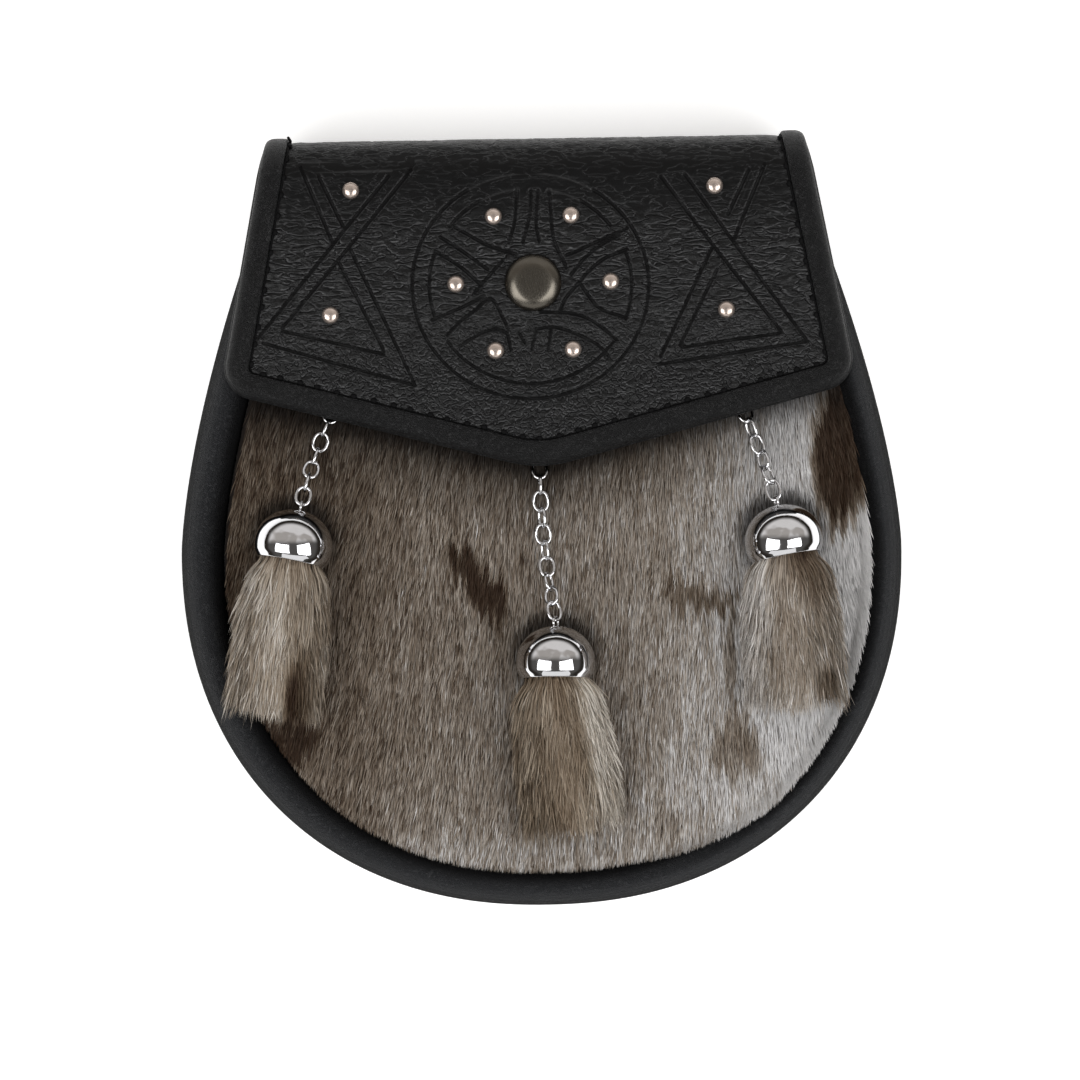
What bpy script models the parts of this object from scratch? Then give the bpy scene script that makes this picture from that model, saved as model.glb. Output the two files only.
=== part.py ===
"""Sporran pouch: a D-shaped leather pouch with a fur front, a bound flap and three fur tassels.

The pouch lies on its back on the floor, z = 0.  +X is to the right as seen from above, +Y runs to the
top of the pouch and +Z out of its front.  All lengths are metres.
"""
import math

import bmesh
import bpy
from mathutils import Matrix, Vector

MM = 0.001
GAP = 0.3 * MM                          # air between two pieces that touch

# Outline of the pouch, seen from the front: a tapered shoulder above a superellipse
HALF_WIDTH = 95.0 * MM
WIDEST_Y = -8.0 * MM
BOTTOM_Y = -101.7 * MM
BELLY_HEIGHT = WIDEST_Y - BOTTOM_Y
BELLY_POWER = 2.2
SHOULDER_TOP_Y = 97.0 * MM
SHOULDER_HEIGHT = SHOULDER_TOP_Y - WIDEST_Y
SHOULDER_DRAW_IN = 28.1 * MM            # how much narrower half the pouch is at the top
SHOULDER_POWER = 1.5
SHOULDER_STEPS = 6
BELLY_STEPS = 12

# Back: a corded roll on the floor and a leather panel set into it
BACK_SETBACK = 2.0 * MM                 # the back is this much inside the front's outline
BACK_ROLL_RADIUS = 4.8 * MM
BACK_ROLL_TOP_Y = 87.0 * MM
BACK_PANEL_TOP_Y = 89.0 * MM
BACK_FACE_Z = 7.2 * MM
BACK_THICKNESS = 2.4 * MM

# Front: a thicker roll, thinner at the bottom, round the fur panel
FRONT_ROLL_Z = 33.0 * MM
FRONT_ROLL_SIDE_RADIUS = 5.6 * MM
FRONT_ROLL_BOTTOM_RADIUS = 4.5 * MM
FRONT_ROLL_TOP_Y = 86.0 * MM
PANEL_TOP_Y = 84.0 * MM
PANEL_EDGE_Z = 34.5 * MM
PANEL_CROWN = 3.0 * MM
PANEL_THICKNESS = 3.2 * MM
PANEL_COLUMNS = 12

# Gusset: the side wall between the two rolls
GUSSET_TOP_Y = 92.0 * MM
GUSSET_THICKNESS = 2.0 * MM
GUSSET_BULGE = 1.6 * MM

# Flap: leather on its middle surface; the binding stands BINDING_NOSE outside its edge
FLAP_THICKNESS = 2.2 * MM
FLAP_EDGE_Z = 41.2 * MM
FLAP_CROWN = 1.4 * MM
FLAP_CROWN_REACH = 85.0 * MM            # half-width at which the crown has run out
FLAP_TOP_Y = 99.4 * MM
FLAP_BACK_Z = 5.8 * MM
FOLD_RADIUS = 9.0 * MM
FOLD_STEPS = 3
FLAP_TOP_HALF_WIDTH = 69.5 * MM
FLAP_LOW_CORNER = Vector((81.5, 36.3)) * MM
FLAP_LOW_RADIUS = 6.5 * MM
FLAP_TIP = Vector((0.0, 15.1)) * MM
FLAP_TIP_RADIUS = 30.0 * MM
FLAP_ROWS = 5
FLAP_SHOULDER_Y = 89.6 * MM             # on the back, where the flap narrows to its seam tab
FLAP_TAB_HALF_WIDTH = 56.5 * MM
FLAP_TAB_TOP_Y = 87.6 * MM
FLAP_TAB_END_Y = 68.0 * MM

# Binding: leather folded round the flap's edge
BINDING_THICKNESS = 0.9 * MM
BINDING_WIDTH = 4.6 * MM                # how far each leg reaches onto the flap
BINDING_SHOULDER = 0.35 * MM
BINDING_NOSE = 1.15 * MM
BINDING_LIP = 1.6 * MM                  # the lower leg stands out a little further

# Hardware on the flap: places seen from the front
SNAP_CENTRE = Vector((-1.0, 62.0)) * MM
SNAP_RADIUS = 7.5 * MM
SNAP_HEIGHT = 2.4 * MM
SNAP_STEPS = 20
SNAP_POST_RADIUS = 2.0 * MM
SNAP_SOCKET_RADIUS = 4.8 * MM
SNAP_RIVET_RADIUS = 3.6 * MM
SNAP_RIVET_HEIGHT = 1.0 * MM
SNAP_HOLE_STEPS = 12
SNAP_HOLE_DEPTH = 20.0 * MM
SNAP_HOLE_DROP = 7.0 * MM               # how far the hole's middle lies under the cap
STUD_RADIUS = 2.25 * MM
STUD_HEIGHT = 1.5 * MM
STUD_RING_RADIUS = 20.3 * MM
STUD_RING_COUNT = 6
OUTER_STUDS = (                         # x, y in millimetres
    (-48.4, 87.0),
    (46.9, 86.7),
    (-54.3, 54.4),
    (49.5, 54.2),
)

# Chain wire and links
WIRE_RADIUS = 0.375 * MM
LINK_GAP = 0.25 * MM
LINK_WIDTH = 4.5 * MM
LINK_END_STEPS = 5
CHAIN_START_LIFT = 0.7 * MM             # a flat link over the fur panel, inside the staple
CHAIN_LIFT = 2.7 * MM                   # a link on its edge over the fur panel
CHAIN_SETTLE = 6.0 * MM                 # run from the staple in which the chain comes up to its lift
CHAIN_CLIMB = 16.0 * MM                 # run before the cap in which the chain climbs to its eye
CHAIN_SAMPLES = 240
STAPLE_WIRE_RADIUS = 0.4 * MM
STAPLE_HALF_SPAN = 1.5 * MM
STAPLE_STEPS = 4

# Tassel caps: a turned bell, radius and height over its mouth in millimetres
CAP_OUTSIDE = ((0.0, 14.0), (3.2, 13.6), (6.2, 12.2), (8.6, 9.9), (10.0, 7.0), (10.3, 4.4), (9.9, 1.8),
               (8.9, 0.0))
CAP_INSIDE = ((8.3, 0.0), (9.5, 4.2), (7.9, 9.4), (0.0, 13.3))
CAP_STEPS = 20
CAP_WIDEST_HEIGHT = 4.4 * MM
CAP_HEIGHT = 14.0 * MM
CAP_RADIUS = 10.3 * MM
CAP_NOSE_DOWN = math.radians(6.0)
EYE_RADIUS = 1.4 * MM
EYE_HEIGHT = CAP_HEIGHT + 0.9 * MM
EYE_HOLD = 0.9 * MM                     # from the eye's centre to where the last link pulls

# Tassels, one row each: cap_x, cap_y are the widest circle's centre in millimetres; the leans are degrees
# from straight down, positive to the right; rolls turn the links about the chain, from the flap to the cap
TASSELS = (
    dict(side="left", cap_x=-64.9, cap_y=-5.9, cap_lean=-12.0, fur_lean=-8.0, fur_length=42.0,
         tip_z=43.0, half_width=12.2, start_x=-53.9, start_y=30.3, bow=0.6,
         rolls=(0, 90, 0, 90, 0, 90, 0), eye_roll=90),
    dict(side="centre", cap_x=3.2, cap_y=-37.4, cap_lean=-1.0, fur_lean=6.0, fur_length=42.0,
         tip_z=40.0, half_width=13.0, start_x=-0.1, start_y=15.2, bow=1.0,
         rolls=(0, 85, 0, 67, 0, 66, 0, -64, 35, -30), eye_roll=65),
    dict(side="right", cap_x=63.4, cap_y=-6.7, cap_lean=10.0, fur_lean=3.0, fur_length=41.0,
         tip_z=43.0, half_width=12.8, start_x=53.2, start_y=29.2, bow=-0.5,
         rolls=(-20, 60, -35, 50, -50, 20), eye_roll=-75),
)
LOCK_COUNT = 12                         # fur locks round a tassel
LOCK_RIDGE = 0.07                       # how far a lock stands out, as a share of the radius
HEAD_RADIUS = 7.5 * MM
FUR_ROWS = (                            # along and radii as shares of the fur's length and size
    dict(along=-0.07, width=None, thick=None),
    dict(along=0.03, width=None, thick=None),
    dict(along=0.12, width=0.86, thick=0.95),
    dict(along=0.35, width=0.98, thick=0.84),
    dict(along=0.65, width=1.03, thick=0.68),
    dict(along=0.88, width=1.02, thick=0.52),
)
FUR_HALF_THICKNESS = 7.6 * MM
FUR_TIP_ALONG = 0.93                    # the last row, whose locks end in separate tips
FUR_TIP_WIDTH = 1.02
FUR_TIP_THICKNESS = 0.30
FUR_TIP_REACH = 0.12                    # share of the length by which the lock tips pass the last row
FUR_HOLLOW_ALONG = 0.86                 # bottom of the hollow between the tips
FUR_FALL_POWER = 1.2                    # above 1 the tassel leaves the cap level and then comes down

# Belt loops on the back
LOOP_X = 38.0 * MM
LOOP_WIDTH = 24.0 * MM
LOOP_THICKNESS = 2.0 * MM
LOOP_LOW_Z = 1.6 * MM
LOOP_ENDS_Y = (8.0 * MM, 66.0 * MM)
LOOP_TAB = 9.0 * MM
LOOP_SLOPE = 4.0 * MM

MATERIALS = {                           # colour, roughness, metallic
    "back_leather": ((0.020, 0.019, 0.018), 0.55, 0.0),
    "rim_leather": ((0.014, 0.014, 0.015), 0.42, 0.0),
    "flap_leather": ((0.012, 0.012, 0.013), 0.50, 0.0),
    "binding_leather": ((0.016, 0.016, 0.017), 0.45, 0.0),
    "seal_fur": ((0.230, 0.190, 0.150), 0.75, 0.0),
    "tassel_fur": ((0.330, 0.280, 0.220), 0.75, 0.0),
    "chrome": ((0.780, 0.780, 0.790), 0.06, 1.0),
    "gunmetal": ((0.170, 0.165, 0.160), 0.28, 1.0),
    "nickel": ((0.700, 0.690, 0.670), 0.18, 1.0),
}


# ---------------------------------------------------------------- scene and object helpers

def clear_scene():
    for obj in list(bpy.data.objects):
        bpy.data.objects.remove(obj)


def new_collection(name):
    collection = bpy.data.collections.new(name)
    bpy.context.scene.collection.children.link(collection)
    return collection


def make_materials():
    for name, (colour, roughness, metallic) in MATERIALS.items():
        material = bpy.data.materials.new(name)
        material.use_nodes = True
        shader = material.node_tree.nodes["Principled BSDF"]
        shader.inputs["Base Color"].default_value = (*colour, 1.0)
        shader.inputs["Roughness"].default_value = roughness
        shader.inputs["Metallic"].default_value = metallic


def add_object(name, data, material, collection):
    obj = bpy.data.objects.new(name, data)
    data.materials.append(bpy.data.materials[material])
    collection.objects.link(obj)
    return obj


def smooth(mesh, angle=40.0):
    mesh.shade_smooth()
    mesh.set_sharp_from_angle(angle=math.radians(angle))


def grid_mesh(name, rows, closed=False):
    """Mesh of quads over rows of points; closed joins each row's end to its start."""
    mesh = bpy.data.meshes.new(name)
    columns = len(rows[0])
    vertices = [point for row in rows for point in row]
    faces = []
    for row in range(len(rows) - 1):
        for column in range(columns if closed else columns - 1):
            following = (column + 1) % columns
            low, high = row * columns, (row + 1) * columns
            faces.append((low + column, low + following, high + following, high + column))
    mesh.from_pydata(vertices, [], faces)
    return mesh


def merge_close(mesh, distance=0.001 * MM):
    work = bmesh.new()
    work.from_mesh(mesh)
    bmesh.ops.remove_doubles(work, verts=work.verts, dist=distance)
    work.to_mesh(mesh)
    work.free()


def sheet(name, rows, thickness, material, collection, offset=0.0):
    """Leather or fur wall: an open surface with Solidify."""
    mesh = grid_mesh(name, rows)
    merge_close(mesh)
    smooth(mesh)
    obj = add_object(name, mesh, material, collection)
    solid = obj.modifiers.new("thickness", "SOLIDIFY")
    solid.thickness = thickness
    solid.offset = offset
    solid.use_even_offset = True
    return obj


def wire(name, points, radius, material, collection, cyclic=False, sides=1, swell=None):
    """Round wire or roll on a POLY spline; swell scales the radius at each point."""
    curve = bpy.data.curves.new(name, "CURVE")
    curve.dimensions = "3D"
    curve.bevel_depth = radius
    curve.bevel_resolution = sides
    curve.use_fill_caps = not cyclic
    spline = curve.splines.new("POLY")
    spline.points.add(len(points) - 1)
    spline.use_cyclic_u = cyclic
    for index, (knot, point) in enumerate(zip(spline.points, points)):
        knot.co = (*point, 1.0)
        knot.radius = swell[index] if swell else 1.0
    return add_object(name, curve, material, collection)


def turned(name, profile, steps, material, collection):
    """Solid turned about local Z; the profile runs down the outer side and ends on the axis."""
    mesh = bpy.data.meshes.new(name)
    vertices = [(radius, 0.0, height) for radius, height in profile]
    edges = [(index, index + 1) for index in range(len(profile) - 1)]
    mesh.from_pydata(vertices, edges, [])
    obj = add_object(name, mesh, material, collection)
    screw = obj.modifiers.new("turn", "SCREW")
    screw.steps = steps
    screw.render_steps = steps
    screw.use_merge_vertices = True
    screw.merge_threshold = 0.005 * MM
    return obj


def make_cutter(obj):
    obj.hide_render = True
    obj.display_type = "WIRE"


def combine(obj, tool, operation):
    cut = obj.modifiers.new(operation.lower(), "BOOLEAN")
    cut.operation = operation
    cut.object = tool


# ---------------------------------------------------------------- outline of the pouch

def half_width(y):
    """Half-width of the pouch's outline at a height."""
    if y >= WIDEST_Y:
        return HALF_WIDTH - SHOULDER_DRAW_IN * ((y - WIDEST_Y) / SHOULDER_HEIGHT) ** SHOULDER_POWER
    drop = min((WIDEST_Y - y) / BELLY_HEIGHT, 1.0)
    return HALF_WIDTH * (1.0 - drop ** BELLY_POWER) ** (1.0 / BELLY_POWER)


def outline(top_y, inset):
    """(point, sag) pairs down the right side from top_y to the bottom centre.

    inset(sag) moves a point inwards; sag is 0 at and above the widest height and 1 at the bottom.
    """
    places = []
    for step in range(SHOULDER_STEPS):
        y = top_y + (WIDEST_Y - top_y) * step / SHOULDER_STEPS
        rise = (y - WIDEST_Y) / SHOULDER_HEIGHT
        slope = SHOULDER_DRAW_IN * SHOULDER_POWER * rise ** (SHOULDER_POWER - 1.0) / SHOULDER_HEIGHT
        outward = Vector((1.0, slope)).normalized()
        places.append((Vector((half_width(y), y)) - outward * inset(0.0), 0.0))
    for step in range(BELLY_STEPS + 1):
        angle = math.pi / 2 * step / BELLY_STEPS
        across = max(math.cos(angle), 0.0) ** (2.0 / BELLY_POWER)
        down = math.sin(angle) ** (2.0 / BELLY_POWER)
        sag = math.sin(angle) ** 2
        outward = Vector((across ** (BELLY_POWER - 1.0) / HALF_WIDTH,
                          -down ** (BELLY_POWER - 1.0) / BELLY_HEIGHT))
        point = Vector((HALF_WIDTH * across, WIDEST_Y - BELLY_HEIGHT * down))
        places.append((point - outward.normalized() * inset(sag), sag))
    places[-1][0].x = 0.0
    return places


def both_sides(places):
    """The whole U, from the top right round the bottom to the top left."""
    mirrored = [(Vector((-point.x, point.y)), sag) for point, sag in reversed(places[:-1])]
    return places + mirrored


def front_roll_radius(sag):
    return FRONT_ROLL_SIDE_RADIUS + (FRONT_ROLL_BOTTOM_RADIUS - FRONT_ROLL_SIDE_RADIUS) * sag


def back_roll_inset(sag):
    return BACK_SETBACK + BACK_ROLL_RADIUS


def panel_top(x, y):
    """Height of the fur panel's face."""
    reach = SHOULDER_HEIGHT if y > WIDEST_Y else BELLY_HEIGHT
    along = max(1.0 - ((y - WIDEST_Y) / reach) ** 2, 0.0)
    width = half_width(y)
    across = max(1.0 - (x / width) ** 2, 0.0) if width > 0.0 else 0.0
    return PANEL_EDGE_Z + PANEL_CROWN * along * across


# ---------------------------------------------------------------- pouch body

def make_rolls(parts):
    front = both_sides(outline(FRONT_ROLL_TOP_Y, front_roll_radius))
    points = [(point.x, point.y, FRONT_ROLL_Z) for point, sag in front]
    swell = [front_roll_radius(sag) / FRONT_ROLL_SIDE_RADIUS for point, sag in front]
    wire("front_roll", points, FRONT_ROLL_SIDE_RADIUS, "rim_leather", parts, sides=3, swell=swell)
    back = both_sides(outline(BACK_ROLL_TOP_Y, back_roll_inset))
    points = [(point.x, point.y, BACK_ROLL_RADIUS) for point, sag in back]
    wire("back_roll", points, BACK_ROLL_RADIUS, "rim_leather", parts, sides=2)


def make_back_panel(parts):
    curve = bpy.data.curves.new("back_panel", "CURVE")
    curve.dimensions = "2D"
    curve.fill_mode = "BOTH"
    curve.extrude = BACK_THICKNESS / 2
    edge = both_sides(outline(BACK_PANEL_TOP_Y, lambda sag: BACK_SETBACK + 2 * BACK_ROLL_RADIUS + GAP))
    spline = curve.splines.new("POLY")
    spline.points.add(len(edge) - 1)
    spline.use_cyclic_u = True
    for knot, (point, sag) in zip(spline.points, edge):
        knot.co = (point.x, point.y, 0.0, 1.0)
    panel = add_object("back_panel", curve, "back_leather", parts)
    panel.location.z = BACK_FACE_Z + BACK_THICKNESS / 2


def make_gusset(parts):
    low_z = 2 * BACK_ROLL_RADIUS + GAP
    rows = []
    for share in (0.0, 0.5, 1.0):
        bulge = GUSSET_BULGE * (1.0 - (2.0 * share - 1.0) ** 2)

        def inset(sag, share=share, bulge=bulge):
            back = back_roll_inset(sag)
            return back + (front_roll_radius(sag) - back) * share - bulge

        row = []
        for point, sag in both_sides(outline(GUSSET_TOP_Y, inset)):
            high_z = FRONT_ROLL_Z - front_roll_radius(sag) - GAP
            row.append(Vector((point.x, point.y, low_z + (high_z - low_z) * share)))
        rows.append(row)
    sheet("gusset", rows, GUSSET_THICKNESS, "rim_leather", parts)


def make_front_panel(parts):
    edge = outline(PANEL_TOP_Y, lambda sag: 2 * front_roll_radius(sag) + GAP)
    rows = []
    for point, sag in edge:
        xs = [point.x * (1.0 - 2.0 * column / PANEL_COLUMNS) for column in range(PANEL_COLUMNS + 1)]
        rows.append([Vector((x, point.y, panel_top(x, point.y))) for x in xs])
    panel = sheet("front_panel", rows, PANEL_THICKNESS, "seal_fur", parts, offset=-1.0)
    return panel


# ---------------------------------------------------------------- flap and binding

def flap_face(x):
    """Height of the flap's middle surface over the front."""
    return FLAP_EDGE_Z + FLAP_CROWN * (1.0 - (x / FLAP_CROWN_REACH) ** 2)


def rounded_corner(before, corner, after, radius, steps):
    """Points of an arc that replaces a corner of an outline."""
    start = (before - corner).normalized()
    end = (after - corner).normalized()
    half = start.angle(end) / 2
    centre = corner + (start + end).normalized() * (radius / math.sin(half))
    reach = radius / math.tan(half)
    first = corner + start * reach - centre
    last = corner + end * reach - centre
    turn = first.angle_signed(last)
    arc = []
    for step in range(steps + 1):
        arc.append(centre + Matrix.Rotation(-turn * step / steps, 2) @ first)
    return arc


def flap_lower_edge():
    """Right half of the flap's lower edge, from the side to the middle of the tip."""
    side = Vector((FLAP_TOP_HALF_WIDTH, FLAP_TOP_Y))
    left_corner = Vector((-FLAP_LOW_CORNER.x, FLAP_LOW_CORNER.y))
    corner = rounded_corner(side, FLAP_LOW_CORNER, FLAP_TIP, FLAP_LOW_RADIUS, 4)
    tip = rounded_corner(FLAP_LOW_CORNER, FLAP_TIP, left_corner, FLAP_TIP_RADIUS, 4)[:3]
    tip[-1].x = 0.0
    straight = [corner[-1].lerp(tip[0], share) for share in (1 / 3, 2 / 3)]
    return corner + straight + tip


def flap_rows():
    """Rows of the flap's middle surface from the lower edge over the fold to the tab, and each row's tilt.

    The tilt is 0 on the front, a quarter turn on the top and half a turn on the back.
    """
    lower = flap_lower_edge()
    lower += [Vector((-point.x, point.y)) for point in reversed(lower[:-1])]
    middle = len(lower) // 2
    travel = [0.0]
    for first, second in zip(lower, lower[1:]):
        travel.append(travel[-1] + (second - first).length)
    shares = [1.0 - place / travel[middle] for place in travel]
    fold_y = FLAP_TOP_Y - FOLD_RADIUS
    side = Vector((FLAP_TOP_HALF_WIDTH, FLAP_TOP_Y))
    taper = (FLAP_LOW_CORNER.x - side.x) / (side.y - FLAP_LOW_CORNER.y)
    rows = []

    def add_row(y, width, tilt, height):
        rows.append(([Vector((share * width, y, height(share * width))) for share in shares], tilt))

    for step in range(FLAP_ROWS):
        rise = step / FLAP_ROWS
        row = []
        for point, share in zip(lower, shares):
            top = Vector((share * (side.x + taper * FOLD_RADIUS), fold_y))
            place = point.lerp(top, rise)
            row.append(Vector((place.x, place.y, flap_face(place.x))))
        rows.append((row, 0.0))
    for step in range(FOLD_STEPS + 1):
        tilt = math.pi / 2 * step / FOLD_STEPS
        y = fold_y + FOLD_RADIUS * math.sin(tilt)
        width = side.x + taper * (side.y - y)
        add_row(y, width, tilt, lambda x, tilt=tilt: flap_face(x) - FOLD_RADIUS * (1.0 - math.cos(tilt)))
    for step in range(FOLD_STEPS + 1):
        tilt = math.pi / 2 * (1 + step / FOLD_STEPS)
        y = fold_y + FOLD_RADIUS * math.sin(tilt)
        z = FLAP_BACK_Z + FOLD_RADIUS * (1.0 + math.cos(tilt))
        add_row(y, side.x, tilt, lambda x, z=z: z)
    for y, width in ((FLAP_SHOULDER_Y, side.x), (FLAP_TAB_TOP_Y, FLAP_TAB_HALF_WIDTH),
                     (FLAP_TAB_END_Y, FLAP_TAB_HALF_WIDTH)):
        add_row(y, width, math.pi, lambda x: FLAP_BACK_Z)
    return rows


def make_flap(parts):
    rows = [row for row, tilt in flap_rows()]
    return sheet("flap", rows, FLAP_THICKNESS, "flap_leather", parts)


def make_binding(parts):
    """Sweep the folded strip along the flap's edge, from the back's right shoulder to the left one."""
    rows = flap_rows()[:-2]
    side = [(row[0], tilt) for row, tilt in reversed(rows)]
    path = side[:-1] + [(point, 0.0) for point in rows[0][0]]
    path += [(Vector((-point.x, point.y, point.z)), tilt) for point, tilt in reversed(side[:-1])]
    leg = (FLAP_THICKNESS + BINDING_THICKNESS) / 2 + GAP
    profile = (
        (BINDING_WIDTH, leg),
        (-BINDING_SHOULDER, leg),
        (-BINDING_NOSE, GAP),
        (-BINDING_LIP, -leg),
        (BINDING_WIDTH, -leg),
    )
    strip = []
    for index, (point, tilt) in enumerate(path):
        before = path[max(index - 1, 0)][0]
        after = path[min(index + 1, len(path) - 1)][0]
        along = (after - before).normalized()
        upward = Vector((0.0, math.sin(tilt), math.cos(tilt)))
        inward = along.cross(upward).normalized()
        upward = inward.cross(along).normalized()
        strip.append([point + inward * reach + upward * height for reach, height in profile])
    sheet("flap_binding", strip, BINDING_THICKNESS, "binding_leather", parts)


# ---------------------------------------------------------------- hardware

def make_studs(parts):
    places = [Vector(place) * MM for place in OUTER_STUDS]
    for step in range(STUD_RING_COUNT):
        angle = 2 * math.pi * step / STUD_RING_COUNT
        places.append(SNAP_CENTRE + Vector((math.cos(angle), math.sin(angle))) * STUD_RING_RADIUS)
    profile = (
        (0.0, STUD_HEIGHT),
        (0.55 * STUD_RADIUS, 0.84 * STUD_HEIGHT),
        (0.9 * STUD_RADIUS, 0.45 * STUD_HEIGHT),
        (STUD_RADIUS, 0.0),
        (0.0, 0.0),
    )
    for number, place in enumerate(places, start=1):
        stud = turned(f"stud_{number:02d}", profile, 12, "nickel", parts)
        stud.location = (place.x, place.y, flap_face(place.x) + FLAP_THICKNESS / 2 + 0.5 * GAP)


def make_snap(parts, cutters, flap, front_panel):
    """Cap, post, socket and rivet in one piece, through the flap and the fur panel."""
    face = flap_face(SNAP_CENTRE.x) + FLAP_THICKNESS / 2 + GAP
    socket_top = -(FLAP_THICKNESS + 2 * GAP)
    panel_face = panel_top(*SNAP_CENTRE) - face
    rivet_top = panel_face - PANEL_THICKNESS - 2 * GAP
    rivet_end = rivet_top - SNAP_RIVET_HEIGHT
    profile = (
        (0.0, SNAP_HEIGHT),
        (0.5 * SNAP_RADIUS, 0.9 * SNAP_HEIGHT),
        (0.85 * SNAP_RADIUS, 0.55 * SNAP_HEIGHT),
        (SNAP_RADIUS, 0.2 * SNAP_HEIGHT),
        (0.95 * SNAP_RADIUS, 0.0),
        (SNAP_POST_RADIUS, 0.0),
        (SNAP_POST_RADIUS, socket_top),
        (SNAP_SOCKET_RADIUS, socket_top),
        (SNAP_SOCKET_RADIUS, panel_face + 2 * GAP),
        (SNAP_POST_RADIUS, panel_face + 2 * GAP),
        (SNAP_POST_RADIUS, rivet_top),
        (SNAP_RIVET_RADIUS, rivet_top),
        (SNAP_RIVET_RADIUS, rivet_end),
        (0.0, rivet_end),
    )
    snap = turned("snap_fastener", profile, SNAP_STEPS, "gunmetal", parts)
    snap.location = (SNAP_CENTRE.x, SNAP_CENTRE.y, face)
    bpy.ops.mesh.primitive_cylinder_add(vertices=SNAP_HOLE_STEPS, radius=SNAP_POST_RADIUS + 2 * GAP,
                                        depth=SNAP_HOLE_DEPTH)
    hole = bpy.context.object
    hole.name = "snap_hole"
    hole.location = (SNAP_CENTRE.x, SNAP_CENTRE.y, face - SNAP_HOLE_DROP)
    for collection in hole.users_collection:
        collection.objects.unlink(hole)
    cutters.objects.link(hole)
    make_cutter(hole)
    combine(flap, hole, "DIFFERENCE")
    combine(front_panel, hole, "DIFFERENCE")


# ---------------------------------------------------------------- tassels and chains

def cap_axis(tassel):
    """Unit vector from a cap's mouth to its eye."""
    lean = math.radians(tassel["cap_lean"])
    level = math.cos(CAP_NOSE_DOWN)
    return Vector((-math.sin(lean) * level, math.cos(lean) * level, -math.sin(CAP_NOSE_DOWN)))


def cap_mouth(tassel):
    """Centre of a cap's mouth; the cap rests on the fur panel."""
    x, y = tassel["cap_x"] * MM, tassel["cap_y"] * MM
    widest = Vector((x, y, panel_top(x, y) + CAP_RADIUS + GAP))
    return widest - cap_axis(tassel) * CAP_WIDEST_HEIGHT


def frame_along(direction, roll):
    """Rotation whose Y axis is the direction, turned about it by roll from lying flat."""
    side = direction.cross(Vector((0.0, 0.0, 1.0))).normalized()
    up = side.cross(direction)
    flat = Matrix((side, direction, up)).transposed()
    return flat @ Matrix.Rotation(math.radians(roll), 3, "Y")


def make_cap(tassel, parts, cutters):
    name = "tassel_cap_" + tassel["side"]
    profile = [(radius * MM, height * MM) for radius, height in CAP_OUTSIDE + CAP_INSIDE]
    cap = turned(name, profile, CAP_STEPS, "chrome", parts)
    axis = cap_axis(tassel)
    standing = frame_along(axis, tassel["eye_roll"]) @ Matrix.Rotation(-math.pi / 2, 3, "X")
    cap.matrix_world = Matrix.Translation(cap_mouth(tassel)) @ standing.to_4x4()
    bpy.ops.mesh.primitive_torus_add(major_segments=10, minor_segments=6, major_radius=EYE_RADIUS,
                                     minor_radius=WIRE_RADIUS)
    eye = bpy.context.object
    eye.name = name + "_eye"
    turn = frame_along(axis, tassel["eye_roll"])
    eye.matrix_world = Matrix.Translation(cap_mouth(tassel) + axis * EYE_HEIGHT) @ turn.to_4x4()
    for collection in eye.users_collection:
        collection.objects.unlink(eye)
    cutters.objects.link(eye)
    make_cutter(eye)
    combine(cap, eye, "UNION")


def make_fur(tassel, parts):
    """Locks of fur fused to a round head in the cap: ridged rows that end in separate tips."""
    mouth = cap_mouth(tassel)
    lean = math.radians(tassel["fur_lean"])
    down = Vector((math.sin(lean), -math.cos(lean), 0.0))
    side = Vector((math.cos(lean), math.sin(lean), 0.0))
    length = tassel["fur_length"] * MM
    half = tassel["half_width"] * MM
    fall = tassel["tip_z"] * MM - mouth.z

    def centre(along):
        return mouth + down * (along * length) + Vector((0.0, 0.0, fall * max(along, 0.0) ** FUR_FALL_POWER))

    def ring(along, width, thick, ridge, reach=0.0):
        points = []
        for index in range(2 * LOCK_COUNT):
            angle = math.pi * index / LOCK_COUNT
            on_ridge = index % 2 == 0
            swell = 1.0 + (ridge if on_ridge else -ridge)
            push = reach * (0.6 + 0.4 * math.sin(2.4 * index)) if on_ridge else 0.0
            middle = centre(along + push)
            rise = Vector((0.0, 0.0, 1.0)) * (thick * swell * math.sin(angle))
            points.append(middle + side * (width * swell * math.cos(angle)) + rise)
        return points

    rings = []
    for row in FUR_ROWS:
        width = HEAD_RADIUS if row["width"] is None else row["width"] * half
        thick = HEAD_RADIUS if row["thick"] is None else row["thick"] * FUR_HALF_THICKNESS
        ridge = LOCK_RIDGE if row["width"] else LOCK_RIDGE / 2
        rings.append(ring(row["along"], width, thick, ridge))
    tip_thickness = FUR_TIP_THICKNESS * FUR_HALF_THICKNESS
    rings.append(ring(FUR_TIP_ALONG, FUR_TIP_WIDTH * half, tip_thickness, LOCK_RIDGE, FUR_TIP_REACH))
    mesh = grid_mesh("tassel_fur_" + tassel["side"], rings, closed=True)
    work = bmesh.new()
    work.from_mesh(mesh)
    work.verts.ensure_lookup_table()
    around = 2 * LOCK_COUNT
    head = [work.verts[index] for index in range(around)]
    work.faces.new(reversed(head))
    last = [work.verts[index] for index in range((len(rings) - 1) * around, len(rings) * around)]
    hollow = work.verts.new(centre(FUR_HOLLOW_ALONG))
    for index in range(around):
        work.faces.new((last[index], last[(index + 1) % around], hollow))
    bmesh.ops.recalc_face_normals(work, faces=work.faces)
    work.to_mesh(mesh)
    work.free()
    smooth(mesh, 60.0)
    add_object(mesh.name, mesh, "tassel_fur", parts)


def smoothstep(low, high, value):
    share = min(max((value - low) / (high - low), 0.0), 1.0)
    return share * share * (3.0 - 2.0 * share)


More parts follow.
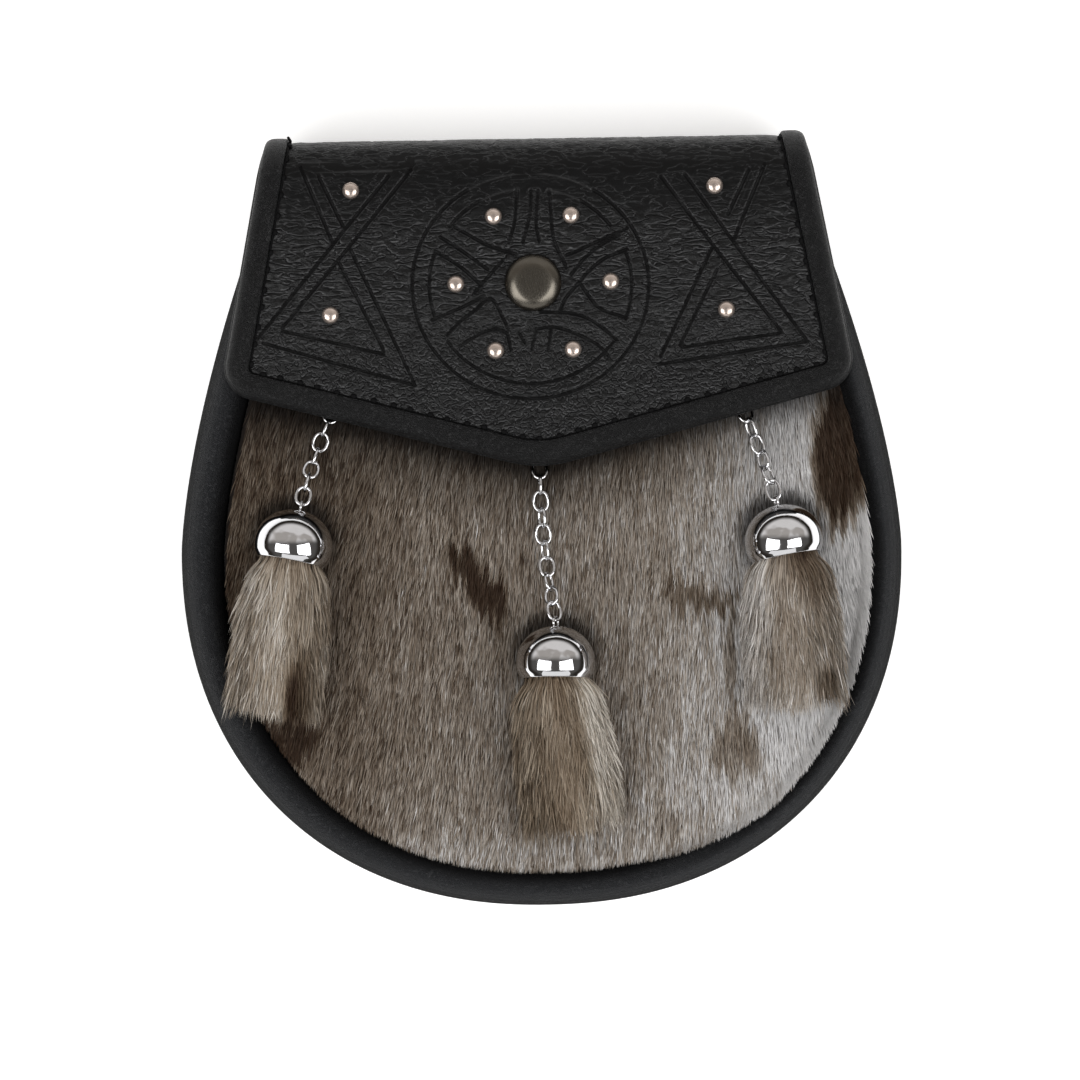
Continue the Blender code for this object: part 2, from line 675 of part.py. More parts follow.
def chain_joints(tassel):
    """Points where the links pull on one another, from the staple to the cap's eye, evenly spaced."""
    start = Vector((tassel["start_x"], tassel["start_y"])) * MM
    eye = cap_mouth(tassel) + cap_axis(tassel) * (EYE_HEIGHT + EYE_HOLD)
    end = eye.xy
    across = Vector((start.y - end.y, end.x - start.x)).normalized()
    control = start.lerp(end, 0.5) - across * (2 * tassel["bow"] * MM)
    samples = []
    for step in range(CHAIN_SAMPLES + 1):
        share = step / CHAIN_SAMPLES
        flat = start.lerp(control, share).lerp(control.lerp(end, share), share)
        settled = smoothstep(0.0, CHAIN_SETTLE, (flat - start).length)
        lift = CHAIN_START_LIFT + (CHAIN_LIFT - CHAIN_START_LIFT) * settled
        lying = panel_top(flat.x, flat.y) + lift
        climb = smoothstep(CHAIN_CLIMB, 0.0, (end - flat).length)
        samples.append(Vector((flat.x, flat.y, lying + (eye.z - lying) * climb)))
    travel = [0.0]
    for first, second in zip(samples, samples[1:]):
        travel.append(travel[-1] + (second - first).length)
    count = len(tassel["rolls"])
    joints = []
    for number in range(count + 1):
        target = travel[-1] * number / count
        index = max(i for i in range(CHAIN_SAMPLES) if travel[i] <= target + 1e-9)
        share = (target - travel[index]) / (travel[index + 1] - travel[index])
        joints.append(samples[index].lerp(samples[index + 1], share))
    return joints


def link_points(pitch):
    """Oval of a link in its own plane, long along Y."""
    radius = LINK_WIDTH / 2 - WIRE_RADIUS
    straight = (pitch + 2 * WIRE_RADIUS + LINK_GAP) / 2 - radius
    points = []
    for end in (1.0, -1.0):
        for step in range(LINK_END_STEPS + 1):
            angle = math.pi * step / LINK_END_STEPS
            points.append((end * radius * math.cos(angle), end * (straight + radius * math.sin(angle)), 0.0))
    return points


def make_chain(tassel, parts):
    joints = chain_joints(tassel)
    for number, (first, second, roll) in enumerate(zip(joints, joints[1:], tassel["rolls"]), start=1):
        pull = second - first
        name = f"{tassel['side']}_link_{number}"
        link = wire(name, link_points(pull.length), WIRE_RADIUS, "chrome", parts, cyclic=True)
        turn = frame_along(pull.normalized(), roll)
        link.matrix_world = Matrix.Translation((first + second) / 2) @ turn.to_4x4()


def make_staple(tassel, parts):
    """Wire arch over the first link's end, both feet on the fur panel."""
    joints = chain_joints(tassel)
    along = (joints[1] - joints[0]).xy.normalized()
    hold = joints[0] - Vector((*along, 0.0)) * (WIRE_RADIUS + LINK_GAP / 2)
    foot = panel_top(hold.x, hold.y) + GAP
    top = hold.z + WIRE_RADIUS + LINK_GAP + STAPLE_WIRE_RADIUS
    radius = top - foot
    points = []
    for step in range(STAPLE_STEPS + 1):
        angle = math.pi * step / STAPLE_STEPS
        reach = -STAPLE_HALF_SPAN * math.cos(angle)
        flat = hold.xy + along * reach
        points.append(Vector((flat.x, flat.y, foot + radius * math.sin(angle))))
    wire("chain_anchor_" + tassel["side"], points, STAPLE_WIRE_RADIUS, "chrome", parts)


def make_belt_loops(parts):
    tab_z = BACK_FACE_Z - GAP - LOOP_THICKNESS / 2
    low, high = LOOP_ENDS_Y
    path = (
        (low, tab_z),
        (low + LOOP_TAB, tab_z),
        (low + LOOP_TAB + LOOP_SLOPE, LOOP_LOW_Z),
        (high - LOOP_TAB - LOOP_SLOPE, LOOP_LOW_Z),
        (high - LOOP_TAB, tab_z),
        (high, tab_z),
    )
    for name, centre in (("belt_loop_left", -LOOP_X), ("belt_loop_right", LOOP_X)):
        edges = (centre - LOOP_WIDTH / 2, centre + LOOP_WIDTH / 2)
        rows = [[Vector((x, y, z)) for x in edges] for y, z in path]
        sheet(name, rows, LOOP_THICKNESS, "back_leather", parts)


def main():
    clear_scene()
    make_materials()
    parts = new_collection("sporran_pouch")
    cutters = new_collection("cutters")
    make_rolls(parts)
    make_back_panel(parts)
    make_gusset(parts)
    front_panel = make_front_panel(parts)
    flap = make_flap(parts)
    make_binding(parts)
    make_studs(parts)
    make_snap(parts, cutters, flap, front_panel)
    for tassel in TASSELS:
        make_cap(tassel, parts, cutters)
        make_fur(tassel, parts)
        make_chain(tassel, parts)
        make_staple(tassel, parts)
    make_belt_loops(parts)


main()
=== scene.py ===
"""Looks of the sporran pouch: black leather, seal fur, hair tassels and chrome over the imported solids."""
import math

import bpy
import numpy as np
from mathutils import Matrix, Vector


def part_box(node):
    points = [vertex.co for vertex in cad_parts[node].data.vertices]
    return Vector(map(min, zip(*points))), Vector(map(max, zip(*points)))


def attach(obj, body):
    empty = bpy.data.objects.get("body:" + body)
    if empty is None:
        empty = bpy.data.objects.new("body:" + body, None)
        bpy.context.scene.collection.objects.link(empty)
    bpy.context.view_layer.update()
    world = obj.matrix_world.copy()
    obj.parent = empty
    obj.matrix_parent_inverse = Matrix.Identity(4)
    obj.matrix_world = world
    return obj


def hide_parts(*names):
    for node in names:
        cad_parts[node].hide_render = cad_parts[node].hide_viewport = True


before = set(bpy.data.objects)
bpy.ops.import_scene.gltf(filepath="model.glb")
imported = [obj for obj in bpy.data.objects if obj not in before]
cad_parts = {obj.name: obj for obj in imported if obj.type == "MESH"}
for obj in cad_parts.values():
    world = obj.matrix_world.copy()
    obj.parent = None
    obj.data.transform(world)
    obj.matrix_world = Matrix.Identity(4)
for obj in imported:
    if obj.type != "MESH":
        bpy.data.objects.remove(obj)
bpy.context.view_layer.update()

MM = 0.001
UP = np.array((0.0, 0.0, 1.0))

# The picture: its side in pixels, a pixel's size on the pouch, the pouch's centre in pixels, the pouch's turn
PICTURE = 1080
PIXEL = 0.2639 * MM
CENTRE_PIXEL = (541.0, 519.5)
TURN = 0.0167

# Studio: lens and sensor in millimetres, the floor, and soft panels: their angles from straight above, across
# and along, their distance, width, height and radiance
LENS = 180.0
SENSOR = 36.0
FLOOR_REACH = 4.0
FLOOR_GLOW = 0.47
LIGHTS = (
    ("window_left", -34.0, -18.0, 1.4, 1.0, 0.95, 3.9),
    ("window_right", 32.0, -18.0, 1.4, 1.0, 0.95, 3.9),
    ("low_strip", 0.0, -57.0, 1.6, 2.0, 0.60, 0.9),
)

# Outline of the pouch and the places of its main pieces, as in the solids
HALF_WIDTH = 95.0 * MM
WIDEST_Y = -8.0 * MM
BELLY_HEIGHT = 93.7 * MM
BELLY_POWER = 2.2
SHOULDER_HEIGHT = 105.0 * MM
SHOULDER_DRAW_IN = 28.1 * MM
SHOULDER_POWER = 1.5
BACK_SETBACK = 2.0 * MM
BACK_ROLL_RADIUS = 4.8 * MM
BACK_ROLL_TOP_Y = 87.0 * MM
FRONT_ROLL_Z = 33.0 * MM
ROLL_SIDE_RADIUS = 5.6 * MM
ROLL_BOTTOM_RADIUS = 4.5 * MM
ROLL_SIDES = 28
FRONT_ROLL_TOP_Y = 86.0 * MM
PANEL_TOP_Y = 84.0 * MM
PANEL_EDGE_Z = 34.5 * MM
PANEL_CROWN = 3.0 * MM
PANEL_THICKNESS = 3.2 * MM
GUSSET_TOP_Y = 92.0 * MM
GUSSET_THICKNESS = 2.0 * MM
GUSSET_BULGE = 1.6 * MM
FLAP_HALF_THICKNESS = 1.1 * MM
LINING_THICKNESS = 1.3 * MM
FLAP_EDGE_Z = 41.2 * MM
FLAP_CROWN = 1.4 * MM
FLAP_CROWN_REACH = 85.0 * MM
FLAP_TOP_Y = 99.4 * MM
FLAP_BACK_Z = 5.8 * MM
FOLD_RADIUS = 9.0 * MM
FLAP_TOP_HALF_WIDTH = 69.5 * MM
FLAP_LOW_CORNER = np.array((81.5, 36.3)) * MM
FLAP_LOW_RADIUS = 6.5 * MM
FLAP_TIP = np.array((0.0, 15.1)) * MM
FLAP_TIP_RADIUS = 30.0 * MM
FLAP_SHOULDER_Y = 89.6 * MM
FLAP_TAB_HALF_WIDTH = 56.5 * MM
FLAP_TAB_TOP_Y = 87.6 * MM
FLAP_TAB_END_Y = 68.0 * MM
BINDING_WIDTH = 4.6 * MM
STITCH_PITCH = 5.0 * MM
SNAP_CENTRE = np.array((-1.0, 62.0)) * MM
WIRE_RADIUS = 0.375 * MM
CHAIN_WIRE_RADIUS = WIRE_RADIUS * 1.15
LINK_ROUNDNESS = 0.88                   # 1 is an ellipse, less is squarer
LINK_WIDTH = 4.5 * MM
CAP_WIDEST_HEIGHT = 4.4 * MM
CAP_RADIUS = 10.3 * MM
CAP_HEIGHT = 14.0 * MM
CAP_NOSE_DOWN = math.radians(6.0)
EYE_RADIUS = 1.4 * MM
GAP = 0.3 * MM

# Tassels: millimetres and degrees, leans from straight down and positive to the right, then the number of
# chain links and the hair's seed, tone and tint
TASSELS = {
    "left": dict(cap=(-64.9, -5.9), cap_lean=-12.0, fur_lean=-8.0, length=42.0, tip_z=43.0, half_width=12.2,
                 eye_roll=90, links=7, seed=41, tone=0.67, tint=(1.05, 1.0, 0.92)),
    "centre": dict(cap=(3.2, -37.4), cap_lean=-1.0, fur_lean=6.0, length=42.0, tip_z=40.0, half_width=13.0,
                   eye_roll=65, links=10, seed=51, tone=0.46, tint=(1.06, 1.0, 0.90)),
    "right": dict(cap=(63.4, -6.7), cap_lean=10.0, fur_lean=3.0, length=41.0, tip_z=43.0, half_width=12.8,
                  eye_roll=-75, links=6, seed=61, tone=0.65, tint=(1.03, 1.0, 0.96)),
}

# Embossed lines on the flap, in pixels of the picture
LEFT_KNOT = (
    ((391, 178), (344, 235), (334, 248), (260, 340)),
    ((414, 171), (351, 249), (284, 330)),
    ((302, 171), (334, 246)),
    ((340, 265), (385, 353)),
    ((319, 178), (344, 229)),
    ((351, 251), (415, 385)),
    ((265, 345), (416, 387)),
    ((284, 333), (385, 356)),
)
RIGHT_KNOT = (
    ((660, 180), (711, 247), (780, 334)),
    ((684, 178), (731, 243), (804, 341)),
    ((764, 166), (733, 241)),
    ((748, 172), (727, 217)),
    ((711, 250), (660, 358)),
    ((716, 272), (679, 347)),
    ((680, 349), (778, 335)),
    ((657, 366), (806, 343)),
)
KNOT_TOPS = (                           # shallow lines near the fold, lighter by a painted highlight
    ((318, 175), (393, 175)),
    ((300, 166), (415, 168)),
    ((684, 172), (750, 170)),
    ((655, 163), (765, 160)),
)
WHEEL_CENTRE = (530.5, 288.0)
WHEEL_RIM = (117.5, 112.0)
WHEEL_INNER = (100.5, 97.0)
WHEEL_ARCS = ((120, 143), (38, 60), (-20, 20), (161, 198), (215, 325))    # degrees of the inner circle
# the circle's top arcs are shallow lines with a painted highlight instead of dark lines
WHEEL_TOP_ARCS = ((99, 120), (60, 80))
WHEEL_RIM_TOP = (58, 122)
WHEEL_SPOKES = (
    ((517, 194), (515, 224), (509, 245)),
    ((531, 194), (530, 218), (523, 245)),
    ((538, 194), (536, 224), (539, 244)),
    ((549, 194), (551, 220), (554, 244), (566, 270)),
    ((455, 230), (466, 236), (488, 248), (516, 257)),
    ((441, 240), (460, 252), (488, 272)),
    ((436, 254), (450, 262), (464, 272), (482, 288)),
    ((503, 263), (488, 280), (475, 295)),
    ((433, 322), (450, 315), (470, 306), (484, 298)),
    ((448, 337), (460, 324), (476, 312), (491, 301), (502, 318), (508, 331)),
    ((460, 348), (480, 336), (496, 331), (507, 335)),
    ((508, 338), (511, 352)),
    ((519, 335), (525, 345)),
    ((536, 332), (532, 351)),
    ((551, 330), (548, 353)),
    ((626, 231), (604, 241), (580, 252), (566, 258)),
    ((618, 238), (600, 248), (585, 260), (571, 277)),
    ((626, 252), (606, 260), (590, 272), (578, 286), (566, 300), (560, 313)),
    ((581, 288), (588, 298), (600, 311), (626, 320)),
    ((540, 314), (568, 315), (586, 320), (602, 330), (616, 342)),
    ((536, 331), (554, 329), (576, 336), (596, 346), (608, 358)),
)

# Marks on the fur: pixel, reach across and along, lean in degrees, tone, strength
FUR_MARKS = (
    (843, 442, 31, 88, -5, -0.12, 1.0),
    (786, 465, 25, 62, 0, 0.92, 0.9),
    (846, 612, 26, 84, -6, 1.42, 1.0),
    (805, 738, 40, 48, -30, 1.02, 0.85),
    (737, 742, 25, 34, 8, 0.36, 0.85),
    (683, 588, 20, 15, 0, 0.18, 0.9),
    (716, 601, 24, 13, 0, 0.16, 0.9),
    # partly painted shadow along the right tassel's left side, partly the fur's own darker colour
    (732, 655, 7, 50, 0, 0.38, 0.6),
    (467, 563, 15, 24, 20, -0.22, 1.0),
    (487, 595, 17, 34, 28, -0.28, 1.0),
    (498, 640, 6, 32, 6, 0.28, 0.7),
    (258, 452, 52, 74, 0, 0.08, 0.85),
    (236, 570, 13, 120, 0, 0.04, 0.9),
    (286, 738, 38, 24, 10, -0.30, 1.0),
    (514, 765, 8, 78, 3, 0.36, 0.6),
    (655, 462, 15, 12, 0, 0.36, 0.6),
    (668, 820, 14, 12, 0, 0.46, 0.6),
    (425, 822, 16, 12, 0, 0.46, 0.4),
    (370, 440, 90, 26, 4, 0.34, 0.5),
    (550, 850, 190, 18, 0, 0.66, 0.6),
    (745, 800, 60, 30, -30, 0.80, 0.6),
)

# Marks on a tassel: across -1 to 1, along 0 to 1, reach across and along, tone, strength
TASSEL_MARKS = {
    "left": (
        (-0.4, 0.5, 0.8, 0.7, 0.74, 0.7),
        (0.50, 0.82, 0.26, 0.26, -0.14, 1.0),
        (0.75, 0.5, 0.3, 0.5, 0.52, 0.7),
        (0.30, 0.30, 0.22, 0.4, 0.50, 0.7),
    ),
    "centre": (
        (0.05, 0.35, 0.3, 0.4, 0.38, 0.8),
        (-0.15, 0.80, 0.3, 0.2, 0.32, 0.8),
        (0.8, 0.5, 0.36, 0.8, 0.98, 0.9),
        (-0.8, 0.5, 0.2, 0.7, 0.50, 0.6),
        (0.3, 0.9, 0.25, 0.2, 0.72, 0.5),
    ),
    "right": (
        (-0.8, 0.5, 0.34, 0.8, 0.90, 0.9),
        (0.5, 0.10, 0.5, 0.20, 0.20, 0.8),
        (0.6, 0.85, 0.2, 0.12, 0.34, 0.8),
        (0.1, 0.5, 0.4, 0.4, 0.58, 0.6),
    ),
}
CORE_TONE = 0.20
FUR_TONES = (                           # reflectance of hair from tone 0, dark brown, to tone 1, pale grey
    (0.028, 0.015, 0.008),
    (0.108, 0.080, 0.056),
    (0.210, 0.172, 0.136),
    (0.355, 0.318, 0.278),
    (0.650, 0.645, 0.645),
)

# Relief of the flap's leather
GROOVE_DEPTH = 0.36 * MM
GROOVE_FLOOR = 0.30 * MM
GROOVE_WALL = 0.45 * MM
LIP_HEIGHT = 0.06 * MM
LIP_PLACE = 1.05 * MM
LIP_WIDTH = 0.32 * MM
SHALLOW_DEPTH = 0.10 * MM
SHALLOW_WIDTH = 0.6 * MM
SEAM_DEPTH = 0.25 * MM
SEAM_WIDTH = 1.6 * MM
CREASE_DEPTH = 0.34 * MM

# Fur: how far the roots stay inside the panel's edge, go past it where the fur is swept over the roll, and go
# on under the flap; the swept band's width, the middle part's half width, the skin's share of the hair's tone
FUR_MARGIN = 1.3 * MM
SWEPT_REACH = 2.8 * MM
FUR_UNDER_FLAP = 9 * MM
SWEPT_BAND = 9.5 * MM
MIDDLE_HALF_WIDTH = 28 * MM
SKIN_SHARE = 0.45

FUR_SPACING = 0.41 * MM
TASSEL_HAIRS = 9600

SMOOTH_LEATHERS = (                     # darker and lighter reflectance, roughness, size of the grain
    ("rim_smooth_leather", (0.0105, 0.0112, 0.0128), (0.0165, 0.0176, 0.0200), 0.28, 0.45 * MM),
    ("binding_smooth_leather", (0.0032, 0.0033, 0.0036), (0.0075, 0.0077, 0.0082), 0.32, 0.45 * MM),
    ("back_plain_leather", (0.0070, 0.0066, 0.0062), (0.0140, 0.0130, 0.0120), 0.42, 0.60 * MM),
)

rng = np.random.default_rng(11)


# ---- shaders

class Value:
    """A shader socket that takes Python's operators."""

    def __init__(self, finish, socket):
        self.finish, self.socket = finish, socket

    def op(self, operation, *others):
        return self.finish.node("Math", {"operation": operation}, dict(enumerate((self, *others))))

    def __add__(self, other):
        return self.op("ADD", other)

    def __sub__(self, other):
        return self.op("SUBTRACT", other)

    def __mul__(self, other):
        return self.op("MULTIPLY", other)

    def __radd__(self, other):
        return self + other

    def __rsub__(self, other):
        return self.finish.node("Math", {"operation": "SUBTRACT"}, {0: other, 1: self})

    def ramp(self, low, high):
        """0 below low, 1 above high, eased between."""
        return self.finish.node("MapRange", {"interpolation_type": "SMOOTHSTEP"},
                                {"Value": self, "From Min": low, "From Max": high})


class Finish:
    """A node tree that is written in Python: node() makes any node, the rest are short forms of it."""

    def __init__(self, tree):
        self.tree = tree

    def node(self, kind, settings=None, inputs=None, output=0):
        made = self.tree.nodes.new("ShaderNode" + kind)
        for name, value in (settings or {}).items():
            setattr(made, name, value)
        for name, value in (inputs or {}).items():
            self.feed(made.inputs[name], value)
        return Value(self, made.outputs[output])

    def feed(self, socket, value):
        if isinstance(value, Value):
            self.tree.links.new(value.socket, socket)
        else:
            socket.default_value = (*value, 1.0) if socket.type == "RGBA" else value

    def dress(self, **values):
        """Feeds sockets of the piece's own shader; a keyword has _ for each blank of the socket's name."""
        for name, value in values.items():
            self.feed(self.tree.nodes["Principled BSDF"].inputs[name.replace("_", " ")], value)

    def vector(self, operation, first, second):
        return self.node("VectorMath", {"operation": operation}, {0: first, 1: second})

    def axis(self, vector, name):
        return self.node("SeparateXYZ", None, {"Vector": vector}, name)

    def painted(self, name, output="Fac"):
        """What paint() wrote on the piece."""
        return self.node("Attribute", {"attribute_name": name}, output=output)

    def place(self, *stretch):
        """Coordinates on the piece, in metres, stretched along its axes."""
        return self.vector("MULTIPLY", self.node("TexCoord", output="Object"), stretch or (1.0, 1.0, 1.0))

    def noise(self, vector, size, detail=3.0, roughness=0.55):
        return self.node("TexNoise", None, {"Vector": vector, "Scale": 1.0 / size, "Detail": detail,
                                            "Roughness": roughness})

    def warped(self, vector, size, reach):
        """The vector pushed about by noise of a size."""
        push = self.node("TexNoise", None, {"Vector": vector, "Scale": 1.0 / size, "Detail": 2.0}, "Color")
        push = self.vector("SUBTRACT", push, (0.5, 0.5, 0.5))
        return self.vector("ADD", vector, self.vector("MULTIPLY", push, (reach, reach, reach)))

    def cells(self, vector, size):
        """Distance to the edges of the cells that a size makes."""
        inputs = {"Vector": vector, "Scale": 1.0 / size}
        return self.node("TexVoronoi", {"feature": "DISTANCE_TO_EDGE"}, inputs)

    def mix(self, share, first, second):
        return self.node("Mix", {"data_type": "RGBA"}, {0: share, 6: first, 7: second}, 2)

    def bump(self, height, distance, strength=1.0):
        inputs = {"Strength": strength, "Distance": distance, "Height": height}
        return self.node("Bump", None, inputs, "Normal")

    def shade(self, share, normal):
        """Painted shade: dull black mixed over the piece's own shader by share, as in a pressed line where
        little light falls.
        """
        dull = {"Base Color": (0.0022, 0.0021, 0.0022), "Roughness": 0.8, "Specular IOR Level": 0.06,
                "Normal": normal}
        dark = self.node("BsdfPrincipled", None, dull)
        own = Value(self, self.tree.nodes["Principled BSDF"].outputs[0])
        mixed = self.node("MixShader", None, {0: share, 1: own, 2: dark})
        self.feed(self.tree.nodes["Material Output"].inputs["Surface"], mixed)


def new_finish(name, **sockets):
    """A material and its Finish, with the shader's fixed sockets set from the keywords."""
    material = bpy.data.materials.new(name)
    material.use_nodes = True
    finish = Finish(material.node_tree)
    finish.dress(**sockets)
    return material, finish


def smooth_leather(name, low, high, roughness, grain):
    material, f = new_finish(name, Specular_IOR_Level=0.28)
    spot = f.place()
    pores = f.cells(f.warped(spot, 1.2 * MM, 0.4 * MM), grain).ramp(0.0, 0.35)
    soft = f.noise(spot, 1.4 * MM, 5.0, 0.65)
    blotch = f.noise(spot, 12.0 * MM)
    normal = f.bump(pores * 0.5 + soft, 0.42 * MM)
    f.dress(Base_Color=f.mix(blotch * 0.6 + soft * 0.4, low, high), Normal=normal,
            Roughness=roughness + blotch * 0.10 + (1.0 - pores) * 0.08)
    # painted shade on the front roll, from the value make_rolls paints on it
    f.shade(f.painted("roll_painted_shade"), normal)
    return material


def creased_leather():
    """The flap's face: creases with a painted highlight on their upper walls, plainer near the fold, and the
    pressed lines, with painted shade in the deep lines, the seam and near the fold and a painted highlight
    along the shallow lines.
    """
    material, f = new_finish("flap_creased_leather", Specular_IOR_Level=0.24)
    spot = f.place()
    height_y = f.axis(spot, "Y")
    low = 1.0 - height_y.ramp(38.0 * MM, 62.0 * MM)

    def wandering(stretch, size, drop):
        bent = f.vector("ADD", f.warped(f.place(stretch, 1.0, 1.0), 2.2 * MM, 1.3 * MM), (0.0, -drop, 0.0))
        return 1.0 - (f.noise(bent, size, 1.5) - 0.5).op("ABSOLUTE").ramp(0.0, 0.048)

    def creases_seen(drop):
        """1 along thin creases, long ones above and shorter ones low on the flap, looked up lower by drop."""
        return wandering(0.34, 1.8 * MM, drop) * (1.0 - low) + wandering(0.75, 1.5 * MM, drop) * low

    valley = creases_seen(0.0)
    above = creases_seen(0.30 * MM)
    lumps = f.noise(f.place(0.6, 1.1, 1.0), 2.2 * MM)
    pores = f.noise(spot, 0.40 * MM, 2.0)
    patchy = f.noise(spot, 4.0 * MM, 2.0).ramp(0.25, 0.65)
    plain = height_y.ramp(72.0 * MM, 88.0 * MM) * (1.0 - height_y.ramp(92.0 * MM, 97.0 * MM) * 0.6)
    worn = 1.0 - plain * 0.80
    groove = (1.0 - f.painted("line_away").ramp(0.26, 0.74)) * (0.66 + patchy * 0.34)
    # painted highlight along the shallow lines near the fold
    painted_line_highlight = (1.0 - f.painted("fold_away").ramp(0.05, 0.42)) * (0.30 + patchy * 0.60)
    relief = (lumps * 0.55 - valley * 0.26 + pores * 0.10) * worn * (1.0 - groove * 0.8) - groove * 0.24
    # painted highlight: the upper wall of each crease, found by looking the creases up a little lower, is
    # made lighter in the base colour
    painted_crease_highlight = above * (1.0 - valley) * (0.35 + patchy * 0.65) * worn * (1.0 - groove)
    tone = f.mix(lumps, (0.0010, 0.0010, 0.0012), (0.0042, 0.0044, 0.0048))
    tone = f.mix(painted_crease_highlight, tone, (0.066, 0.067, 0.069))
    tone = f.mix(painted_line_highlight, tone, (0.038, 0.038, 0.039))
    normal = f.bump(relief, 1.0 * MM)
    f.dress(Base_Color=tone, Roughness=0.29 + worn * 0.04 + pores * 0.05, Normal=normal)
    # painted shade: dull black in the deep lines, along the stitched seam, over the plain part and near the
    # fold
    painted_hollow_shade = (groove * 0.88).op("MAXIMUM", 1.0 - f.painted("seam_away").ramp(0.15, 0.60))
    fold_shade = (plain * 0.34).op("MAXIMUM", height_y.ramp(84.0 * MM, 96.0 * MM) * 0.22)
    f.shade(painted_hollow_shade.op("MAXIMUM", fold_shade), normal)
    return material


def hide_leather():
    """Skin under the fur, streaked as the hair that covers it."""
    material, f = new_finish("hide_under_fur", Roughness=0.85, Specular_IOR_Level=0.2)
    streak = f.noise(f.place(1.0, 0.12, 1.0), 0.5 * MM, 2.0)
    f.dress(Base_Color=f.mix(streak * 0.8, (0.014, 0.010, 0.008), f.painted("tone", "Color")),
            Normal=f.bump(streak, 0.3 * MM, 0.8))
    return material


def hair(name):
    """Single hairs: each brings its own tone, and a fine noise breaks it along its length."""
    material, f = new_finish(name, Specular_IOR_Level=0.14)
    fleck = f.noise(f.place(1.0, 0.3, 1.0), 0.8 * MM, 2.0)
    f.dress(Base_Color=f.mix(fleck * 0.22, f.painted("tone", "Color"), (0.045, 0.028, 0.018)),
            Roughness=0.50 + fleck * 0.15)
    return material


def chrome():
    material, f = new_finish("polished_chrome", Metallic=1.0)
    spot = f.place()
    smudge = f.noise(spot, 3.5 * MM, 4.0)
    f.dress(Base_Color=f.mix(smudge, (0.74, 0.74, 0.76), (0.64, 0.64, 0.65)),
            Roughness=0.04 + smudge.ramp(0.45, 0.75) * 0.08,
            Normal=f.bump(f.noise(spot, 2.5 * MM, 1.0), 0.02 * MM))
    return material


def gunmetal():
    material, f = new_finish("brushed_gunmetal", Metallic=1.0)
    brush = f.noise(f.place(1.0, 0.05, 1.0), 0.12 * MM, 2.0)
    patina = f.noise(f.place(), 3.0 * MM)
    f.dress(Base_Color=f.mix(patina, (0.136, 0.124, 0.105), (0.100, 0.090, 0.075)),
            Roughness=0.20 + brush * 0.10 + patina * 0.04, Normal=f.bump(brush, 0.012 * MM, 0.6))
    return material


def nickel():
    material, f = new_finish("worn_nickel", Metallic=0.85)
    haze = f.noise(f.place(), 0.9 * MM)
    f.dress(Base_Color=f.mix(haze, (0.64, 0.55, 0.50), (0.52, 0.43, 0.37)), Roughness=0.20 + haze * 0.08)
    return material


def waxed_thread():
    material, f = new_finish("waxed_black_thread", Roughness=0.75, Specular_IOR_Level=0.1)
    ply = f.noise(f.place(), 0.25 * MM, 2.0)
    f.dress(Base_Color=f.mix(ply, (0.0012, 0.0012, 0.0012), (0.004, 0.004, 0.0045)),
            Normal=f.bump(ply, 0.08 * MM))
    return material


def pale_floor():
    material, f = new_finish("pale_floor", Roughness=0.9, Emission_Color=(1.0, 1.0, 1.0),
                             Emission_Strength=FLOOR_GLOW)
    f.dress(Base_Color=f.mix(f.noise(f.place(), 30.0 * MM), (0.90, 0.90, 0.90), (0.92, 0.92, 0.915)))
    return material


# ---- mesh helpers

def seen(across, down):
    """Place on the pouch, in metres, of a pixel of the picture."""
    x = (np.asarray(across, float) - CENTRE_PIXEL[0]) * PIXEL
    y = (CENTRE_PIXEL[1] - np.asarray(down, float)) * PIXEL
    return np.stack((x + TURN * y, y - TURN * x), -1)


def unit(vectors):
    return vectors / np.linalg.norm(vectors, axis=-1, keepdims=True)


def fade(values, start, width):
    """1 up to start, then falling to 0 over the width."""
    return 1.0 - np.clip((values - start) / width, 0.0, 1.0)


def full_turn(steps):
    return np.linspace(0.0, 2 * np.pi, steps, endpoint=False)


def travelled(points):
    """How far along their line each of the points lies."""
    return np.concatenate(([0.0], np.cumsum(np.linalg.norm(np.diff(points, axis=0), axis=1))))


def between(wanted, places, values):
    """Values, or rows of them, looked up between the places they belong to."""
    values = np.asarray(values, float)
    if values.ndim == 1:
        return np.interp(wanted, places, values)
    return np.stack([np.interp(wanted, places, column) for column in values.T], -1)


def mirrored(right):
    """The right half of a line that ends in the middle, and its mirror image."""
    return np.vstack((right, right[-2::-1] * (-1.0, 1.0)))


def put(name, data):
    made = bpy.data.objects.new(name, data)
    bpy.context.scene.collection.objects.link(made)
    return made


def add_piece(name, vertices, faces, material, slot, replaces=(), sharp=None):
    """A mesh that rides on the pouch and stands for the named solids."""
    mesh = bpy.data.meshes.new(name)
    mesh.from_pydata(np.asarray(vertices).tolist(), [], faces)
    mesh.shade_smooth()
    if sharp:
        mesh.set_sharp_from_angle(angle=math.radians(sharp))
    mesh.materials.append(material)
    piece = put(name, mesh)
    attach(piece, "root")
    if replaces:
        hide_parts(*replaces)
    return piece


def thicken(piece, thickness, offset=0.0):
    slab = piece.modifiers.new("thickness", "SOLIDIFY")
    slab.thickness = thickness
    slab.offset = offset


def grid_faces(rows, columns, wrap_rows=False, wrap_columns=False):
    """Quads over rows of vertices."""
    index = np.arange(rows * columns).reshape(rows, columns)
    if wrap_rows:
        index = np.vstack((index, index[:1]))
    if wrap_columns:
        index = np.hstack((index, index[:, :1]))
    quads = np.stack((index[:-1, :-1], index[:-1, 1:], index[1:, 1:], index[1:, :-1]), -1)
    return quads.reshape(-1, 4).tolist()


def end_faces(rows, columns):
    """The first and the last row of vertices as faces that close a tube."""
    last = rows * columns
    return [list(range(columns))[::-1], list(range(last - columns, last))]


